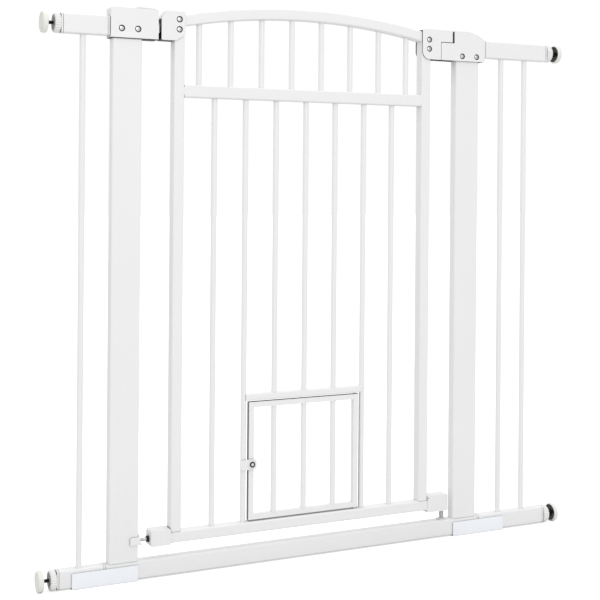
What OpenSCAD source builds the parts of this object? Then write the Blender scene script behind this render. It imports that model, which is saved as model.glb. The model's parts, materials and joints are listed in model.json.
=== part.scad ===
// Walk-through pet gate: a pressure-fit steel frame with a panel at each side,
// an arched door that lifts off its latch and swings on two pins, and a small
// cat flap in the door. Four screw spindles push rubber cups against the walls.
// Millimetres. +X runs along the gate, +Y points away from its front, +Z is up.
// The origin is on the floor, in the middle of the gate's whole width.
// Outlines are laid out from the middle of the doorway, which gate_x moves there.

/* [Frame] */
// Clear width between the two posts
opening_w = 586; // [480:1:760]
// Width of each post
post_w = 48; // [38:1:64]
// Depth of the posts and of the frame's rails, front to back
frame_d = 18.6; // [14:0.2:23]
// Height of the frame from the underside of its bottom rail
frame_h = 885.5; // [700:0.5:1100]
// Height of the bottom rail that is stepped over
threshold_h = 29; // [24:0.5:36]
// Height of the side panels' top rails
top_rail_h = 30.5; // [24:0.5:37]
// Steel wall of the frame's tubes
tube_wall = 1.2; // [0.8:0.1:2]
// Corner radius of every rectangular tube
tube_r = 2.6; // [1.5:0.1:4]

/* [Side panels] */
// Length of the left panel's rails
left_panel_w = 70; // [58:1:140]
// Length of the right panel's bottom rail
right_panel_w = 140; // [118:1:210]
// How far the bottom rail and the latch housing run past the posts
rail_end = 4; // [2:0.5:12]
// How far the hinge housing runs past its post
hinge_end = 11; // [4:0.5:16]
// Distance from the frame to the left panel's bar
left_bar_at = 41.5; // [34:0.5:50]
// Distance from the frame to the right panel's first bar
right_bar_at = 50.5; // [42:0.5:60]
// Distance between the right panel's two bars
panel_bar_pitch = 51.5; // [40:0.5:62]
// Thickness of the plug flange between frame and panel
plug_flange = 4; // [2:0.5:6]
// Depth of the plug inside a rail
plug_depth = 18; // [10:1:22]
// Diameter of the peg that hooks a top rail into its post housing
peg_d = 8; // [5:0.5:10]
// Length of that peg
peg_len = 14; // [8:0.5:15]

/* [Sleeves] */
// Length of the sleeve that ties a panel to the bottom rail
sleeve_len = 107; // [85:1:130]
// Height of the sleeve from the floor
sleeve_h = 25; // [18:0.5:28]
// Wall of the sleeve and of its sole
sleeve_wall = 2; // [1.5:0.1:3]

/* [Spindles] */
// Outside diameter of the threaded rod
rod_d = 6; // [5:0.1:8]
// Length of the rod inside the rail
rod_in = 35; // [24:1:40]
// Rod that shows between the hand nut and the cup
rod_show = 10.5; // [7:0.5:30]
// Diameter of the wall cup
cup_d = 33; // [26:0.5:33]
// Thickness of the wall cup
cup_t = 8.5; // [6:0.5:12]
// Diameter of the hand nut's body
nut_d = 30.6; // [24:0.1:31]
// Thickness of the hand nut
nut_t = 10; // [8:0.5:16]
// Number of grip ribs on the hand nut
nut_ribs = 24; // [12:1:32]
// Thickness of the flange on the rail's end bush
bush_flange = 3.5; // [2:0.5:5]

/* [Door] */
// Depth of the door's stiles and rails
door_d = 20; // [16:0.5:22]
// Width of the two stiles
stile_w = 18; // [14:0.5:24]
// Space between the bottom rail of the frame and the door
door_gap = 21; // [14:0.5:30]
// Height of the door's bottom rail
door_rail_h = 18; // [15:0.5:24]
// Height of the mid rail
mid_rail_h = 20; // [15:0.5:26]
// Distance from the frame's top down to the mid rail's top
mid_rail_drop = 102.5; // [80:0.5:140]
// Height of the arch's crown above the frame
arch_over = 31.5; // [20:0.5:48]
// Radius of the arch's top edge
arch_r = 1135; // [900:5:2400]
// Height of the arched rail's section
arch_h = 18; // [14:0.5:22]
// Diameter of the door's bars
bar_d = 9.5; // [7:0.5:13]
// Steel wall of every bar
bar_wall = 1; // [0.6:0.1:2]
// Spaces between bars across the door
bar_spaces = 8; // [8:2:12]

/* [Cat flap] */
// Height of the opening for the flap
flap_open_h = 199; // [160:1:260]
// Height and depth of the bar above the flap
header_h = 11.5; // [10:0.5:16]
// Width of the flap's own frame members
flap_member = 9; // [8:0.5:12]
// Gap between the flap and the bars beside it
flap_side_gap = 4; // [2.5:0.5:6]
// Gap above and below the flap
flap_end_gap = 2.4; // [1.5:0.1:4]
// Diameter of the flap's hinge pins
flap_pin_d = 4; // [3:0.5:5]
// Height of the flap's latch above the flap's lower edge
flap_latch_at = 92; // [40:1:160]
// Length of the turn latch from its screw to its tip
turn_reach = 21.5; // [16:0.5:24]
// Height of the turn latch
turn_h = 16.6; // [10:0.2:16.8]

/* [Latch side] */
// How far the latch housing reaches into the doorway
latch_reach = 26; // [20:0.5:34]
// Gap between the latch housing and the door's latch cap
latch_gap = 5; // [4:0.5:7]
// Width of the latch cap outside the stile
cap_reach = 22.5; // [19:0.5:30]
// Height of the housings and caps above the frame
cap_over = 14; // [10:0.5:18]
// Height of the latch housing and latch cap
latch_h = 47; // [42:0.5:60]
// Depth of the housings and of the door's caps, front to back
shell_d = 24; // [23:0.2:28]
// Height and depth of the sliding bolt
bolt_h = 3; // [2:0.5:4]
// Depth of the sliding bolt, front to back
bolt_d = 8; // [5:0.5:10]
// How far the bolt sits below the frame's top
bolt_drop = 8; // [7:0.5:9]
// Travel of the slide button
button_travel = 9; // [6:0.5:10]
// Height that the door lifts to clear its catches
lift = 10; // [8:0.5:12]
// Height of the shelf catch on the post
catch_h = 12.5; // [10:0.5:16]
// Diameter of the door's foot pin
foot_pin_d = 6; // [4:0.5:7]
// Width of the foot cap outside the door
foot_w = 33.5; // [28:0.5:40]

/* [Hinge side] */
// Distance of the hinge axis from the hinge post
hinge_inset = 18.2; // [16:0.1:22]
// Radius of the arm that turns on the upper pin
arm_r = 14.5; // [12.5:0.1:14.8]
// Height of the arm
arm_h = 21; // [16:0.5:26]
// Height of the hinge housing and of its cap
hinge_h = 53; // [46:0.5:64]
// Diameter of both hinge pins
pin_d = 6; // [5:0.1:8]
// Half depth and end radius of the lower hinge cap
low_cap_r = 10.5; // [10:0.1:13]
// Height of the lower hinge cap
low_cap_h = 29; // [25:0.5:34]

/* [Hidden] */
$fn = 64;
CURVE = 720;                 // facets of the arch's large circles
PLAY = 0.1;                  // clearance of pieces that stay put
RUN = 0.05;                  // radial clearance of running fits
SIDE = 0.4;                  // clearance of loose moving fits
SEAM = 0.5;                  // open joint between moulded pieces and tubes
WHITE = [0.93, 0.93, 0.93];
SHELL = [0.9, 0.9, 0.91];
SLEEVE = [0.95, 0.96, 0.98];
RUBBER = [0.9, 0.91, 0.88];
STEEL = [0.75, 0.76, 0.78];
BLACK = [0.08, 0.08, 0.08];

half_open = opening_w / 2;
post_out = half_open + post_w;
rail_out = post_out + rail_end;               // ends of the bottom rail
left_x = -rail_out;                           // latch housing's outer face
right_x = post_out + hinge_end;               // hinge housing's outer face
wall_l = left_x - plug_flange - left_panel_w; // outer ends of the panels
wall_r = rail_out + plug_flange + right_panel_w;
nut_gap = 0.5;                                // between end bush and nut
reach = bush_flange + nut_gap + nut_t + rod_show + cup_t;
gate_x = -((wall_r + reach) + (wall_l - reach)) / 2;

rail_z = sleeve_wall;                         // underside of the frame's rails
step_z = rail_z + threshold_h;                // top of the bottom rail
top_z = rail_z + frame_h;                     // top of the panels
low_axis = rail_z + threshold_h / 2;          // spindle axes
high_axis = top_z - top_rail_h / 2;

door_half = half_open - latch_reach - latch_gap - cap_reach;
inner = door_half - stile_w;                  // stile's inner face
door_z = step_z + door_gap;
sill_z = door_z + door_rail_h;                // top of the door's bottom rail
mid_top = top_z - mid_rail_drop;
mid_z = mid_top - mid_rail_h;
crown = top_z + arch_over;
arch_z = crown - arch_r;                      // centre of the arch
arch_end = arch_z + sqrt(arch_r * arch_r - inner * inner);
pitch = 2 * inner / bar_spaces;
bar_x = [for (i = [1 : bar_spaces - 1]) -inner + i * pitch];
flap_k = 2;                                   // bars each side of the middle that frame the flap
flap_half_open = flap_k * pitch - bar_d / 2;
head_z = sill_z + flap_open_h;                // underside of the flap's header
flap_x = flap_half_open - flap_side_gap;      // flap's half width
flap_z0 = sill_z + flap_end_gap;
flap_z1 = head_z - flap_end_gap;
flap_axis = flap_x - flap_member / 2;         // flap pivots and latch screw, from the middle
turn_z = flap_z0 + flap_latch_at;
turn_t = 3.4;                                 // thickness of the turn latch
screw_r = 2;                                  // shank of every small screw
head_r = 3.8;                                 // its head
head_t = 1.3;
recess_r = 5.2;                               // recess around the head
head_sink = 0.3;                              // head below the shell's face
latch_head_r = 4.2;                           // ring head on the turn latch

cap_top = top_z + cap_over;
shell_y = shell_d / 2;
latch_z = cap_top - latch_h;
stile_top = min(arch_end, cap_top) - 3;
post_top = top_z - bolt_drop - bolt_h / 2 - 1;
bolt_z = top_z - bolt_drop;
cap_left = -(door_half + cap_reach);          // latch cap's outer face
house_right = -(half_open - latch_reach);     // latch housing's face to the doorway
bolt_in = 3.5;                                // bolt inside the latch cap
bolt_tail = -(half_open + 25);
button_w = 31;                                // length of the slide button
button_h = 3.3;
neck_w = 8;
neck_x = house_right - 19;                    // middle of the button's neck
button_x = neck_x - 14;
catch_wall = 2.9;                             // catch's legs beside the post
catch_web = 5.8;                              // catch in the doorway
catch_leg = 14;                               // catch along the post
pin_z = door_z + 9.5;                         // foot pin's axis
foot_x = -(door_half + foot_w);               // foot cap's outer face
foot_top = door_z + 24;
notch_x = -(half_open - 2.6);                 // floor of the catch's notch

hinge_x = half_open - hinge_inset;
arm_z = cap_top - arm_h;                      // underside of the arm
shelf_gap = 1.2;                              // between the arm and the shelf under it
sweep_w = 41;                                 // the housing's sloping end
sweep_r = (sweep_w * sweep_w + cap_over * cap_over) / (2 * cap_over);
hinge_z = cap_top - hinge_h;
seat_r = arm_r + 3;                           // hollow in the housing beside the arm
cap_wing = 15.8;                              // hinge cap past the door's edge
shelf_r = hinge_x - door_half - cap_wing - shelf_gap;
low_cap_z = door_z - 4;
bush_r = 6;
bush_z = rail_z + tube_wall + 8;              // bottom of the threshold bush
bush_top = step_z + 1.5;

// ---------------------------------------------------------------- helpers

// Everything is laid out from the middle of the doorway.
module at_gate() { translate([gate_x, 0, 0]) children(); }

// A block between two values on each axis.
module span(x, y, z) {
    translate([x[0], y[0], z[0]]) cube([x[1] - x[0], y[1] - y[0], z[1] - z[0]]);
}

// A front-view outline given depth from y[0] to y[1].
module slab(y) {
    translate([0, y[1], 0]) rotate([90, 0, 0]) linear_extrude(y[1] - y[0]) children();
}

// A side-view outline run along X from x[0] to x[1].
module run_x(x) {
    translate([x[0], 0, 0]) rotate([90, 0, 90]) linear_extrude(x[1] - x[0]) children();
}

// A rectangle with round corners, centred.
module soft_rect(w, h, r) {
    square([w - 2 * r, h], center = true);
    square([w, h - 2 * r], center = true);
    for (sx = [-1, 1], sy = [-1, 1])
        translate([sx * (w / 2 - r), sy * (h / 2 - r)]) circle(r);
}

// The section of a rectangular steel tube, centred.
module tube_section(w, h, wall = tube_wall) {
    difference() {
        soft_rect(w, h, tube_r);
        soft_rect(w - 2 * wall, h - 2 * wall, tube_r - wall / 2);
    }
}

module rail(x, z, h, d) {
    run_x(x) translate([0, z + h / 2]) tube_section(d, h);
}

module upright(x, w, d, z) {
    translate([x, 0, z[0]]) linear_extrude(z[1] - z[0]) tube_section(w, d);
}

module rod(x, z, d) {
    translate([x, 0, z[0]]) cylinder(d = d, h = z[1] - z[0]);
}

// A round steel tube standing up.
module bar(x, z) {
    difference() {
        rod(x, z, bar_d);
        rod(x, [z[0] - 1, z[1] + 1], bar_d - 2 * bar_wall);
    }
}

module hole_y(x, z, r, y) {
    translate([x, y[1], z]) rotate([90, 0, 0]) cylinder(r = r, h = y[1] - y[0]);
}

module hole_x(x, z, r) {
    translate([x[0], 0, z]) rotate([0, 90, 0]) cylinder(r = r, h = x[1] - x[0]);
}

// A rectangle with its corners cut straight: [x, z] cut at each corner,
// starting bottom left and going anticlockwise.
module cut_rect(x, z, bl, br, tr, tl) {
    polygon([
        [x[0] + bl[0], z[0]], [x[1] - br[0], z[0]], [x[1], z[0] + br[1]], [x[1], z[1] - tr[1]],
        [x[1] - tr[0], z[1]], [x[0] + tl[0], z[1]], [x[0], z[1] - tl[1]], [x[0], z[0] + bl[1]]
    ]);
}

// Rounds one corner of an outline: c is the corner, s points out of it.
module round_corner(c, s, r) {
    translate(c) scale([s[0], s[1]]) difference() {
        translate([-r, -r]) square(r + 1);
        translate([-r, -r]) circle(r);
    }
}

module front_half() {
    intersection() {
        children();
        span([-2000, 2000], [-shell_y - 1, 0], [-1, 2000]);
    }
}

module back_half() {
    intersection() {
        children();
        span([-2000, 2000], [0, shell_y + 1], [-1, 2000]);
    }
}

// A pan-head screw along +Y whose head sits in a recess in the front shell.
module pan_screw(x, z) {
    head_y = -shell_y + head_sink;
    slot = 1;
    difference() {
        union() {
            hole_y(x, z, head_r, [head_y, head_y + head_t]);
            hole_y(x, z, screw_r, [head_y + head_t, shell_y - 1.2]);
        }
        for (a = [0, 90])
            translate([x, head_y, z]) rotate([0, a, 0])
                cube([head_r, slot, slot], center = true);
    }
}

// What a pan-head screw needs cut from the shells and tubes around it.
module screw_space(x, z) {
    hole_y(x, z, recess_r, [-shell_y - 1, -shell_y + head_sink + head_t]);
    hole_y(x, z, screw_r + PLAY, [-shell_y, shell_y - 1.1]);
}

// ---------------------------------------------------------------- the frame

module threshold_rail() {
    color(WHITE) difference() {
        rail([-rail_out, rail_out], rail_z, threshold_h, frame_d);
        rod(hinge_x, [step_z - tube_wall - 1, step_z + 1], 2 * (bush_r + PLAY));
    }
}

module post(side) {
    difference() {
        upright(side * (half_open + post_w / 2), post_w, frame_d, [step_z, post_top]);
        peg_x = side < 0 ? [-post_out - 1, -post_out + tube_wall + 1]
                         : [post_out - tube_wall - 1, post_out + 1];
        hole_x(peg_x, high_axis, peg_d / 2 + PLAY);
    }
}

module left_post() {
    color(WHITE) difference() {
        post(-1);
        latch_screw_spaces();
    }
}

module right_post() {
    color(WHITE) difference() {
        post(1);
        hinge_screw_spaces();
    }
}

latch_screw_x = [-(half_open + 34.2), -(half_open + 7.6)];
latch_screw_z = latch_z + 14.5;
hinge_screw_x = [half_open + 11.5, half_open + 41.8];
hinge_screw_z = hinge_z + 8.6;

module latch_screw_spaces() { for (x = latch_screw_x) screw_space(x, latch_screw_z); }
module hinge_screw_spaces() { for (x = hinge_screw_x) screw_space(x, hinge_screw_z); }

module housing_screws() {
    color(STEEL) {
        for (x = latch_screw_x) pan_screw(x, latch_screw_z);
        for (x = hinge_screw_x) pan_screw(x, hinge_screw_z);
    }
}

// Room for a post and for the peg of a top rail inside a housing.
module post_socket(side, z0) {
    x = side < 0 ? [-post_out - PLAY, -half_open + PLAY] : [half_open - PLAY, post_out + PLAY];
    span(x, [-frame_d / 2 - PLAY, frame_d / 2 + PLAY], [z0 - 1, post_top + PLAY]);
    peg_x = side < 0 ? [left_x - 1, -post_out] : [post_out, right_x + 1];
    hole_x(peg_x, high_axis, peg_d / 2 + PLAY);
}

module latch_housing() {
    r = 3;
    difference() {
        slab([-shell_y, shell_y]) difference() {
            cut_rect([left_x, house_right], [latch_z, cap_top], [0, 0], [0, 0], [0, 0], [0, 0]);
            round_corner([left_x, cap_top], [-1, 1], r);
            round_corner([house_right, cap_top], [1, 1], r);
        }
        post_socket(-1, latch_z);
        // Channel for the bolt and for the spring behind it.
        span([bolt_tail - button_travel - 1, house_right + 1],
             [-bolt_d / 2 - SIDE, bolt_d / 2 + SIDE],
             [bolt_z - bolt_h / 2 - SIDE, bolt_z + bolt_h / 2 + SIDE]);
        hole_x([left_x + 4, bolt_tail], bolt_z, spring_r + SIDE);
        // Slot for the button's neck.
        span([neck_x - neck_w / 2 - button_travel - SIDE, neck_x + neck_w / 2 + SIDE],
             [-3 - SIDE, 3 + SIDE], [bolt_z, cap_top + 1]);
        latch_screw_spaces();
    }
}

module latch_housing_front() { color(SHELL) front_half() latch_housing(); }
module latch_housing_back() { color(SHELL) back_half() latch_housing(); }

module hinge_housing() {
    difference() {
        union() {
            slab([-shell_y, shell_y]) difference() {
                cut_rect([hinge_x, right_x], [hinge_z, cap_top], [0, 0], [2, 2], [0, 0], [0, 0]);
                // The top falls away to the right in one sweep.
                difference() {
                    translate([right_x - sweep_w, cap_top - sweep_r]) square(sweep_r + 1);
                    translate([right_x - sweep_w, cap_top - sweep_r]) circle(sweep_r, $fn = CURVE);
                }
            }
            // Round end under the arm, about the hinge axis.
            intersection() {
                rod(hinge_x, [hinge_z, arm_z - shelf_gap], 2 * shelf_r);
                span([hinge_x - shelf_r - 1, hinge_x + 1], [-shell_y, shell_y], [hinge_z, cap_top]);
            }
        }
        // Room for the arm above the shelf.
        rod(hinge_x, [arm_z - shelf_gap, cap_top + 1], 2 * seat_r);
        rod(hinge_x, [upper_pin_z - 1, arm_z], pin_d + 2 * RUN);
        post_socket(1, hinge_z);
        hinge_screw_spaces();
    }
}

upper_pin_z = arm_z - 20;

module hinge_housing_front() { color(SHELL) front_half() hinge_housing(); }
module hinge_housing_back() { color(SHELL) back_half() hinge_housing(); }

// U-shaped catch on the latch post: the foot pin leaves it forwards and upwards.
module door_catch() {
    web_x = -(half_open - catch_web);
    z = [pin_z - 5, pin_z - 5 + catch_h];
    y = frame_d / 2 + PLAY;
    color(RUBBER) difference() {
        span([-(half_open + catch_leg), web_x], [-y - catch_wall, y + catch_wall], z);
        span([-(half_open + catch_leg) - 1, -half_open + PLAY], [-y, y], [z[0] - 1, z[1] + 1]);
        span([notch_x, web_x + 1],
             [-y - catch_wall - 1, foot_pin_d / 2 + 0.3],
             [pin_z - foot_pin_d / 2 - 0.3, z[1] + 1]);
    }
}

// Plastic bush in the bottom rail that the lower hinge pin stands in.
module threshold_bush() {
    color(SHELL) difference() {
        union() {
            rod(hinge_x, [bush_z, bush_top], 2 * bush_r);
            rod(hinge_x, [step_z, bush_top], 2 * bush_r + 5);
        }
        rod(hinge_x, [bush_z + 2, bush_top + 1], pin_d + 2 * RUN);
    }
}

// ---------------------------------------------------------------- side panels

module left_top_rail() {
    color(WHITE) rail([wall_l, left_x - plug_flange], top_z - top_rail_h, top_rail_h, frame_d);
}
module left_bottom_rail() {
    color(WHITE) rail([wall_l, -rail_out - plug_flange], rail_z, threshold_h, frame_d);
}
module right_top_rail() {
    color(WHITE) rail([right_x + plug_flange, wall_r], top_z - top_rail_h, top_rail_h, frame_d);
}
module right_bottom_rail() {
    color(WHITE) rail([rail_out + plug_flange, wall_r], rail_z, threshold_h, frame_d);
}

module panel_bar(x) { bar(x, [step_z, top_z - top_rail_h]); }
module left_panel_bar() { color(WHITE) panel_bar(-rail_out - left_bar_at); }
module right_panel_bars() {
    color(WHITE) for (i = [0, 1]) panel_bar(rail_out + right_bar_at + i * panel_bar_pitch);
}

// Moulded plug: a flange, a block inside the panel's rail, and on the frame's
// side a block in the bottom rail or a round peg in the post's housing.
module plug(side, z, h, peg) {
    x = side > 0 && peg ? right_x : rail_out;
    mirror([side < 0 ? 1 : 0, 0, 0]) translate([x, 0, z + h / 2]) {
        run_x([SEAM, plug_flange - SEAM]) soft_rect(frame_d, h, tube_r);
        plug_block(plug_flange - SEAM, h);
        if (peg) hole_x([-peg_len, SEAM], 0, peg_d / 2);
        else mirror([1, 0, 0]) plug_block(-SEAM, h);
    }
}

module plug_block(x, h) {
    fit = 2 * (tube_wall + PLAY);
    run_x([x, x + plug_depth]) soft_rect(frame_d - fit, h - fit, tube_r - tube_wall / 2);
}

module panel_plugs() {
    color(RUBBER) for (side = [-1, 1]) {
        plug(side, rail_z, threshold_h, false);
        plug(side, top_z - top_rail_h, top_rail_h, true);
    }
}

// Channel clipped over the joint between the bottom rail and a panel.
module sleeve(side) {
    x = side < 0 ? [-(half_open + sleeve_len), -half_open] : [half_open, half_open + sleeve_len];
    y = frame_d / 2 + SEAM;
    difference() {
        span(x, [-y - sleeve_wall, y + sleeve_wall], [0, sleeve_h]);
        span([x[0] - 1, x[1] + 1], [-y, y], [sleeve_wall, sleeve_h + 1]);
    }
}
module left_sleeve() { color(SLEEVE) sleeve(-1); }
module right_sleeve() { color(SLEEVE) sleeve(1); }

// ---------------------------------------------------------------- spindles

// Puts a spindle's piece at one of the four rail ends, pointing outwards.
module at_end(side, level) {
    z = level > 0 ? high_axis : low_axis;
    x = side < 0 ? wall_l : wall_r;
    translate([x, 0, z]) mirror([side < 0 ? 1 : 0, 0, 0]) children();
}

module end_bush(h) {
    fit = 2 * (tube_wall + PLAY);
    difference() {
        union() {
            run_x([SEAM, bush_flange]) soft_rect(frame_d, h, tube_r);
            run_x([-14, SEAM]) soft_rect(frame_d - fit, h - fit, tube_r - tube_wall / 2);
        }
        hole_x([-15, bush_flange + 1], 0, rod_d / 2 + RUN);
    }
}

module spindle_bushes() {
    color(SHELL) for (side = [-1, 1], level = [-1, 1])
        at_end(side, level) end_bush(level > 0 ? top_rail_h : threshold_h);
}

cup_x = bush_flange + nut_gap + nut_t + rod_show;    // inner face of the cup
plate_r = cup_d / 2 - 2.5;
plate_t = 1.2;

// Threaded rod with the steel plate that backs the cup.
module spindle() {
    color(BLACK) hole_x([-rod_in, cup_x + 4.5], 0, rod_d / 2);
    color(STEEL) hole_x([cup_x + 0.4, cup_x + 0.4 + plate_t], 0, plate_r);
}

module cup() {
    edge = 1.5;
    body_r = cup_d / 2;
    color(RUBBER) difference() {
        translate([cup_x, 0, 0]) rotate([0, 90, 0]) rotate_extrude() difference() {
            square([body_r, cup_t]);
            for (z = [0, cup_t])
                round_corner([body_r, z], [1, z > 0 ? 1 : -1], edge);
        }
        hole_x([cup_x - 1, cup_x + 0.4 + plate_t + 0.2], 0, plate_r + 0.2);
        hole_x([cup_x, cup_x + 4.8], 0, rod_d / 2 + PLAY);
    }
}

module nut() {
    x = bush_flange + nut_gap;
    rib_r = 1.1;
    color(RUBBER) difference() {
        union() {
            hole_x([x, x + nut_t], 0, nut_d / 2);
            for (i = [0 : nut_ribs - 1])
                rotate([i * 360 / nut_ribs, 0, 0]) translate([0, 0, nut_d / 2 - rib_r / 2])
                    hole_x([x + 0.8, x + nut_t - 0.8], 0, rib_r);
        }
        hole_x([x + nut_t - 1.2, x + nut_t + 1], 0, nut_d / 2 - 2);
        hole_x([x - 1, x + nut_t + 1], 0, rod_d / 2 + RUN);
    }
}

module spindle_top_left() { at_end(-1, 1) spindle(); }
module spindle_bottom_left() { at_end(-1, -1) spindle(); }
module spindle_top_right() { at_end(1, 1) spindle(); }
module spindle_bottom_right() { at_end(1, -1) spindle(); }
module cup_top_left() { at_end(-1, 1) cup(); }
module cup_bottom_left() { at_end(-1, -1) cup(); }
module cup_top_right() { at_end(1, 1) cup(); }
module cup_bottom_right() { at_end(1, -1) cup(); }
module nut_top_left() { at_end(-1, 1) nut(); }
module nut_bottom_left() { at_end(-1, -1) nut(); }
module nut_top_right() { at_end(1, 1) nut(); }
module nut_bottom_right() { at_end(1, -1) nut(); }

// ---------------------------------------------------------------- hinge pins

// Both pins lift with the door but don't turn with it.
module upper_hinge_pin() {
    color(STEEL) rod(hinge_x, [upper_pin_z, cap_top - 2.8], pin_d);
}

collar_t = 1.5;
spring_wire = 1;

module lower_hinge_pin() {
    color(STEEL) {
        rod(hinge_x, [bush_z + 3, low_cap_z + low_cap_h - 5.3], pin_d);
        rod(hinge_x, [bush_top + 0.3, bush_top + 0.3 + collar_t], pin_d + 2 * spring_wire + 0.4);
    }
}

// Torsion spring around the lower pin, here as the sleeve that its coils fill.
module closer_spring() {
    color(STEEL) difference() {
        rod(hinge_x, [bush_top + 0.4 + collar_t, low_cap_z - 0.3], pin_d + 2 * spring_wire + 0.4);
        rod(hinge_x, [bush_top, low_cap_z], pin_d + 0.4);
    }
}

// ---------------------------------------------------------------- the door

module latch_stile() {
    color(WHITE) difference() {
        upright(-(inner + stile_w / 2), stile_w, door_d, [sill_z, stile_top]);
        latch_cap_spaces();
    }
}

module hinge_stile() {
    color(WHITE) difference() {
        upright(inner + stile_w / 2, stile_w, door_d, [sill_z, stile_top]);
        hinge_cap_spaces();
    }
}

module arch_circle(r, y) {
    translate([0, y, arch_z]) rotate([90, 0, 0]) cylinder(r = r, h = 2 * y, $fn = CURVE);
}

module arch_rail() {
    color(WHITE) intersection() {
        span([-inner, inner], [-door_d, door_d], [mid_top, crown + 1]);
        translate([0, 0, arch_z]) rotate([90, 0, 0]) rotate_extrude($fn = CURVE)
            translate([arch_r - arch_h / 2, 0]) tube_section(arch_h, door_d);
    }
}

module mid_rail() { color(WHITE) rail([-inner, inner], mid_z, mid_rail_h, door_d); }

module bottom_rail() {
    color(WHITE) difference() {
        rail([-door_half, door_half], door_z, door_rail_h, door_d);
        rod(flap_axis, [sill_z - tube_wall - 1, sill_z + 1], flap_pin_d + 2 * RUN);
    }
}

// Bars between the mid rail and the arch, half a pitch off the lower ones.
module upper_bars() {
    color(WHITE) intersection() {
        for (i = [0 : bar_spaces - 1]) bar(-inner + (i + 0.5) * pitch, [mid_top, crown]);
        arch_circle(arch_r - arch_h, door_d);
    }
}

function beside_flap(x) = abs(x) > (flap_k - 0.5) * pitch;

module long_bars() {
    color(WHITE) for (x = bar_x) if (beside_flap(x)) bar(x, [sill_z, mid_z]);
}

module short_bars() {
    color(WHITE) for (x = bar_x) if (!beside_flap(x)) bar(x, [head_z + header_h, mid_z]);
}

module flap_header() {
    end = flap_half_open + bar_d / 4;
    color(WHITE) difference() {
        run_x([-end, end]) translate([0, head_z + header_h / 2])
            tube_section(header_h, header_h);
        for (s = [-1, 1]) rod(s * flap_k * pitch, [head_z - 1, head_z + header_h + 1], bar_d);
        rod(flap_axis, [head_z - 1, head_z + tube_wall + 1], flap_pin_d + 2 * RUN);
    }
}

// ---------------------------------------------------------------- door caps

latch_cap_screw_x = -(inner + stile_w / 2 + 1);
latch_cap_screw_z = [latch_z + 18.3, latch_z + 34.3];
hinge_cap_screw_x = inner + 14;
hinge_cap_screw_z = [hinge_z + 18.2, hinge_z + 34.5];

module latch_cap_spaces() { for (z = latch_cap_screw_z) screw_space(latch_cap_screw_x, z); }
module hinge_cap_spaces() { for (z = hinge_cap_screw_z) screw_space(hinge_cap_screw_x, z); }

module cap_screws() {
    color(STEEL) {
        for (z = latch_cap_screw_z) pan_screw(latch_cap_screw_x, z);
        for (z = hinge_cap_screw_z) pan_screw(hinge_cap_screw_x, z);
    }
}

// Room for a stile and for the arched rail beside it inside a cap.
module stile_socket(side, z0) {
    x = side < 0 ? [-door_half - PLAY, -inner + 5] : [inner - 5, door_half + PLAY];
    span(x, [-door_d / 2 - PLAY, door_d / 2 + PLAY], [z0 - 1, stile_top + PLAY]);
}

module latch_cap() {
    wall = 2;
    difference() {
        slab([-shell_y, shell_y]) difference() {
            cut_rect([cap_left, -inner], [latch_z, cap_top], [0, 0], [16, 9.5], [3, 2], [9.5, 13.5]);
            round_corner([cap_left, latch_z], [-1, -1], 2.5);
        }
        stile_socket(-1, latch_z);
        // Hollow beside the stile, and the bolt's slot, open at the back so
        // that the door can leave the bolt forwards, and below so it can lift.
        span([cap_left + wall, -door_half - wall], [-shell_y + wall, shell_y - wall],
             [latch_z + wall, bolt_z + bolt_h / 2 + SIDE]);
        span([cap_left - 1, cap_left + wall + 1], [-bolt_d / 2 - SIDE, shell_y - wall],
             [latch_z + wall, bolt_z + bolt_h / 2 + SIDE]);
        span([cap_left - 1, cap_left + wall + 1], [-shell_y + wall, 0],
             [latch_z + wall, bolt_z - bolt_h / 2 - SIDE - lift]);
        span([cap_left - 1, cap_left + bolt_in + SIDE], [0, shell_y + 1],
             [bolt_z - bolt_h / 2 - SIDE - lift, bolt_z + bolt_h / 2 + SIDE]);
        latch_cap_spaces();
    }
}

module latch_cap_front() { color(SHELL) front_half() latch_cap(); }
module latch_cap_back() { color(SHELL) back_half() latch_cap(); }

module hinge_cap() {
    clear_r = shelf_r + shelf_gap;
    difference() {
        union() {
            slab([-shell_y, shell_y]) difference() {
                cut_rect([inner, hinge_x], [hinge_z, cap_top], [0, 0], [0, 0], [0, 0], [3, 2]);
                round_corner([inner, hinge_z], [-1, -1], 14);
            }
            intersection() {
                rod(hinge_x, [arm_z, cap_top], 2 * arm_r);
                span([hinge_x - 1, hinge_x + arm_r + 1], [-shell_y, shell_y], [arm_z, cap_top]);
            }
        }
        // Clear of the shelf below the arm.
        rod(hinge_x, [hinge_z - 1, arm_z], 2 * clear_r);
        rod(hinge_x, [arm_z - 1, cap_top - 2.5], pin_d + 2 * RUN);
        // Soft lower corner at the arm's end.
        translate([0, 0, arm_z]) slab([-shell_y - 1, shell_y + 1])
            round_corner([hinge_x + arm_r, 0], [1, -1], 4);
        stile_socket(1, hinge_z);
        hinge_cap_spaces();
    }
}

module hinge_cap_front() { color(SHELL) front_half() hinge_cap(); }
module hinge_cap_back() { color(SHELL) back_half() hinge_cap(); }

// Block that pushes into an end of the door's bottom rail.
module rail_block(x) {
    fit = 2 * (tube_wall + PLAY);
    run_x(x) translate([0, door_z + door_rail_h / 2])
        soft_rect(door_d - fit, door_rail_h - fit, tube_r - tube_wall / 2);
}

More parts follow.
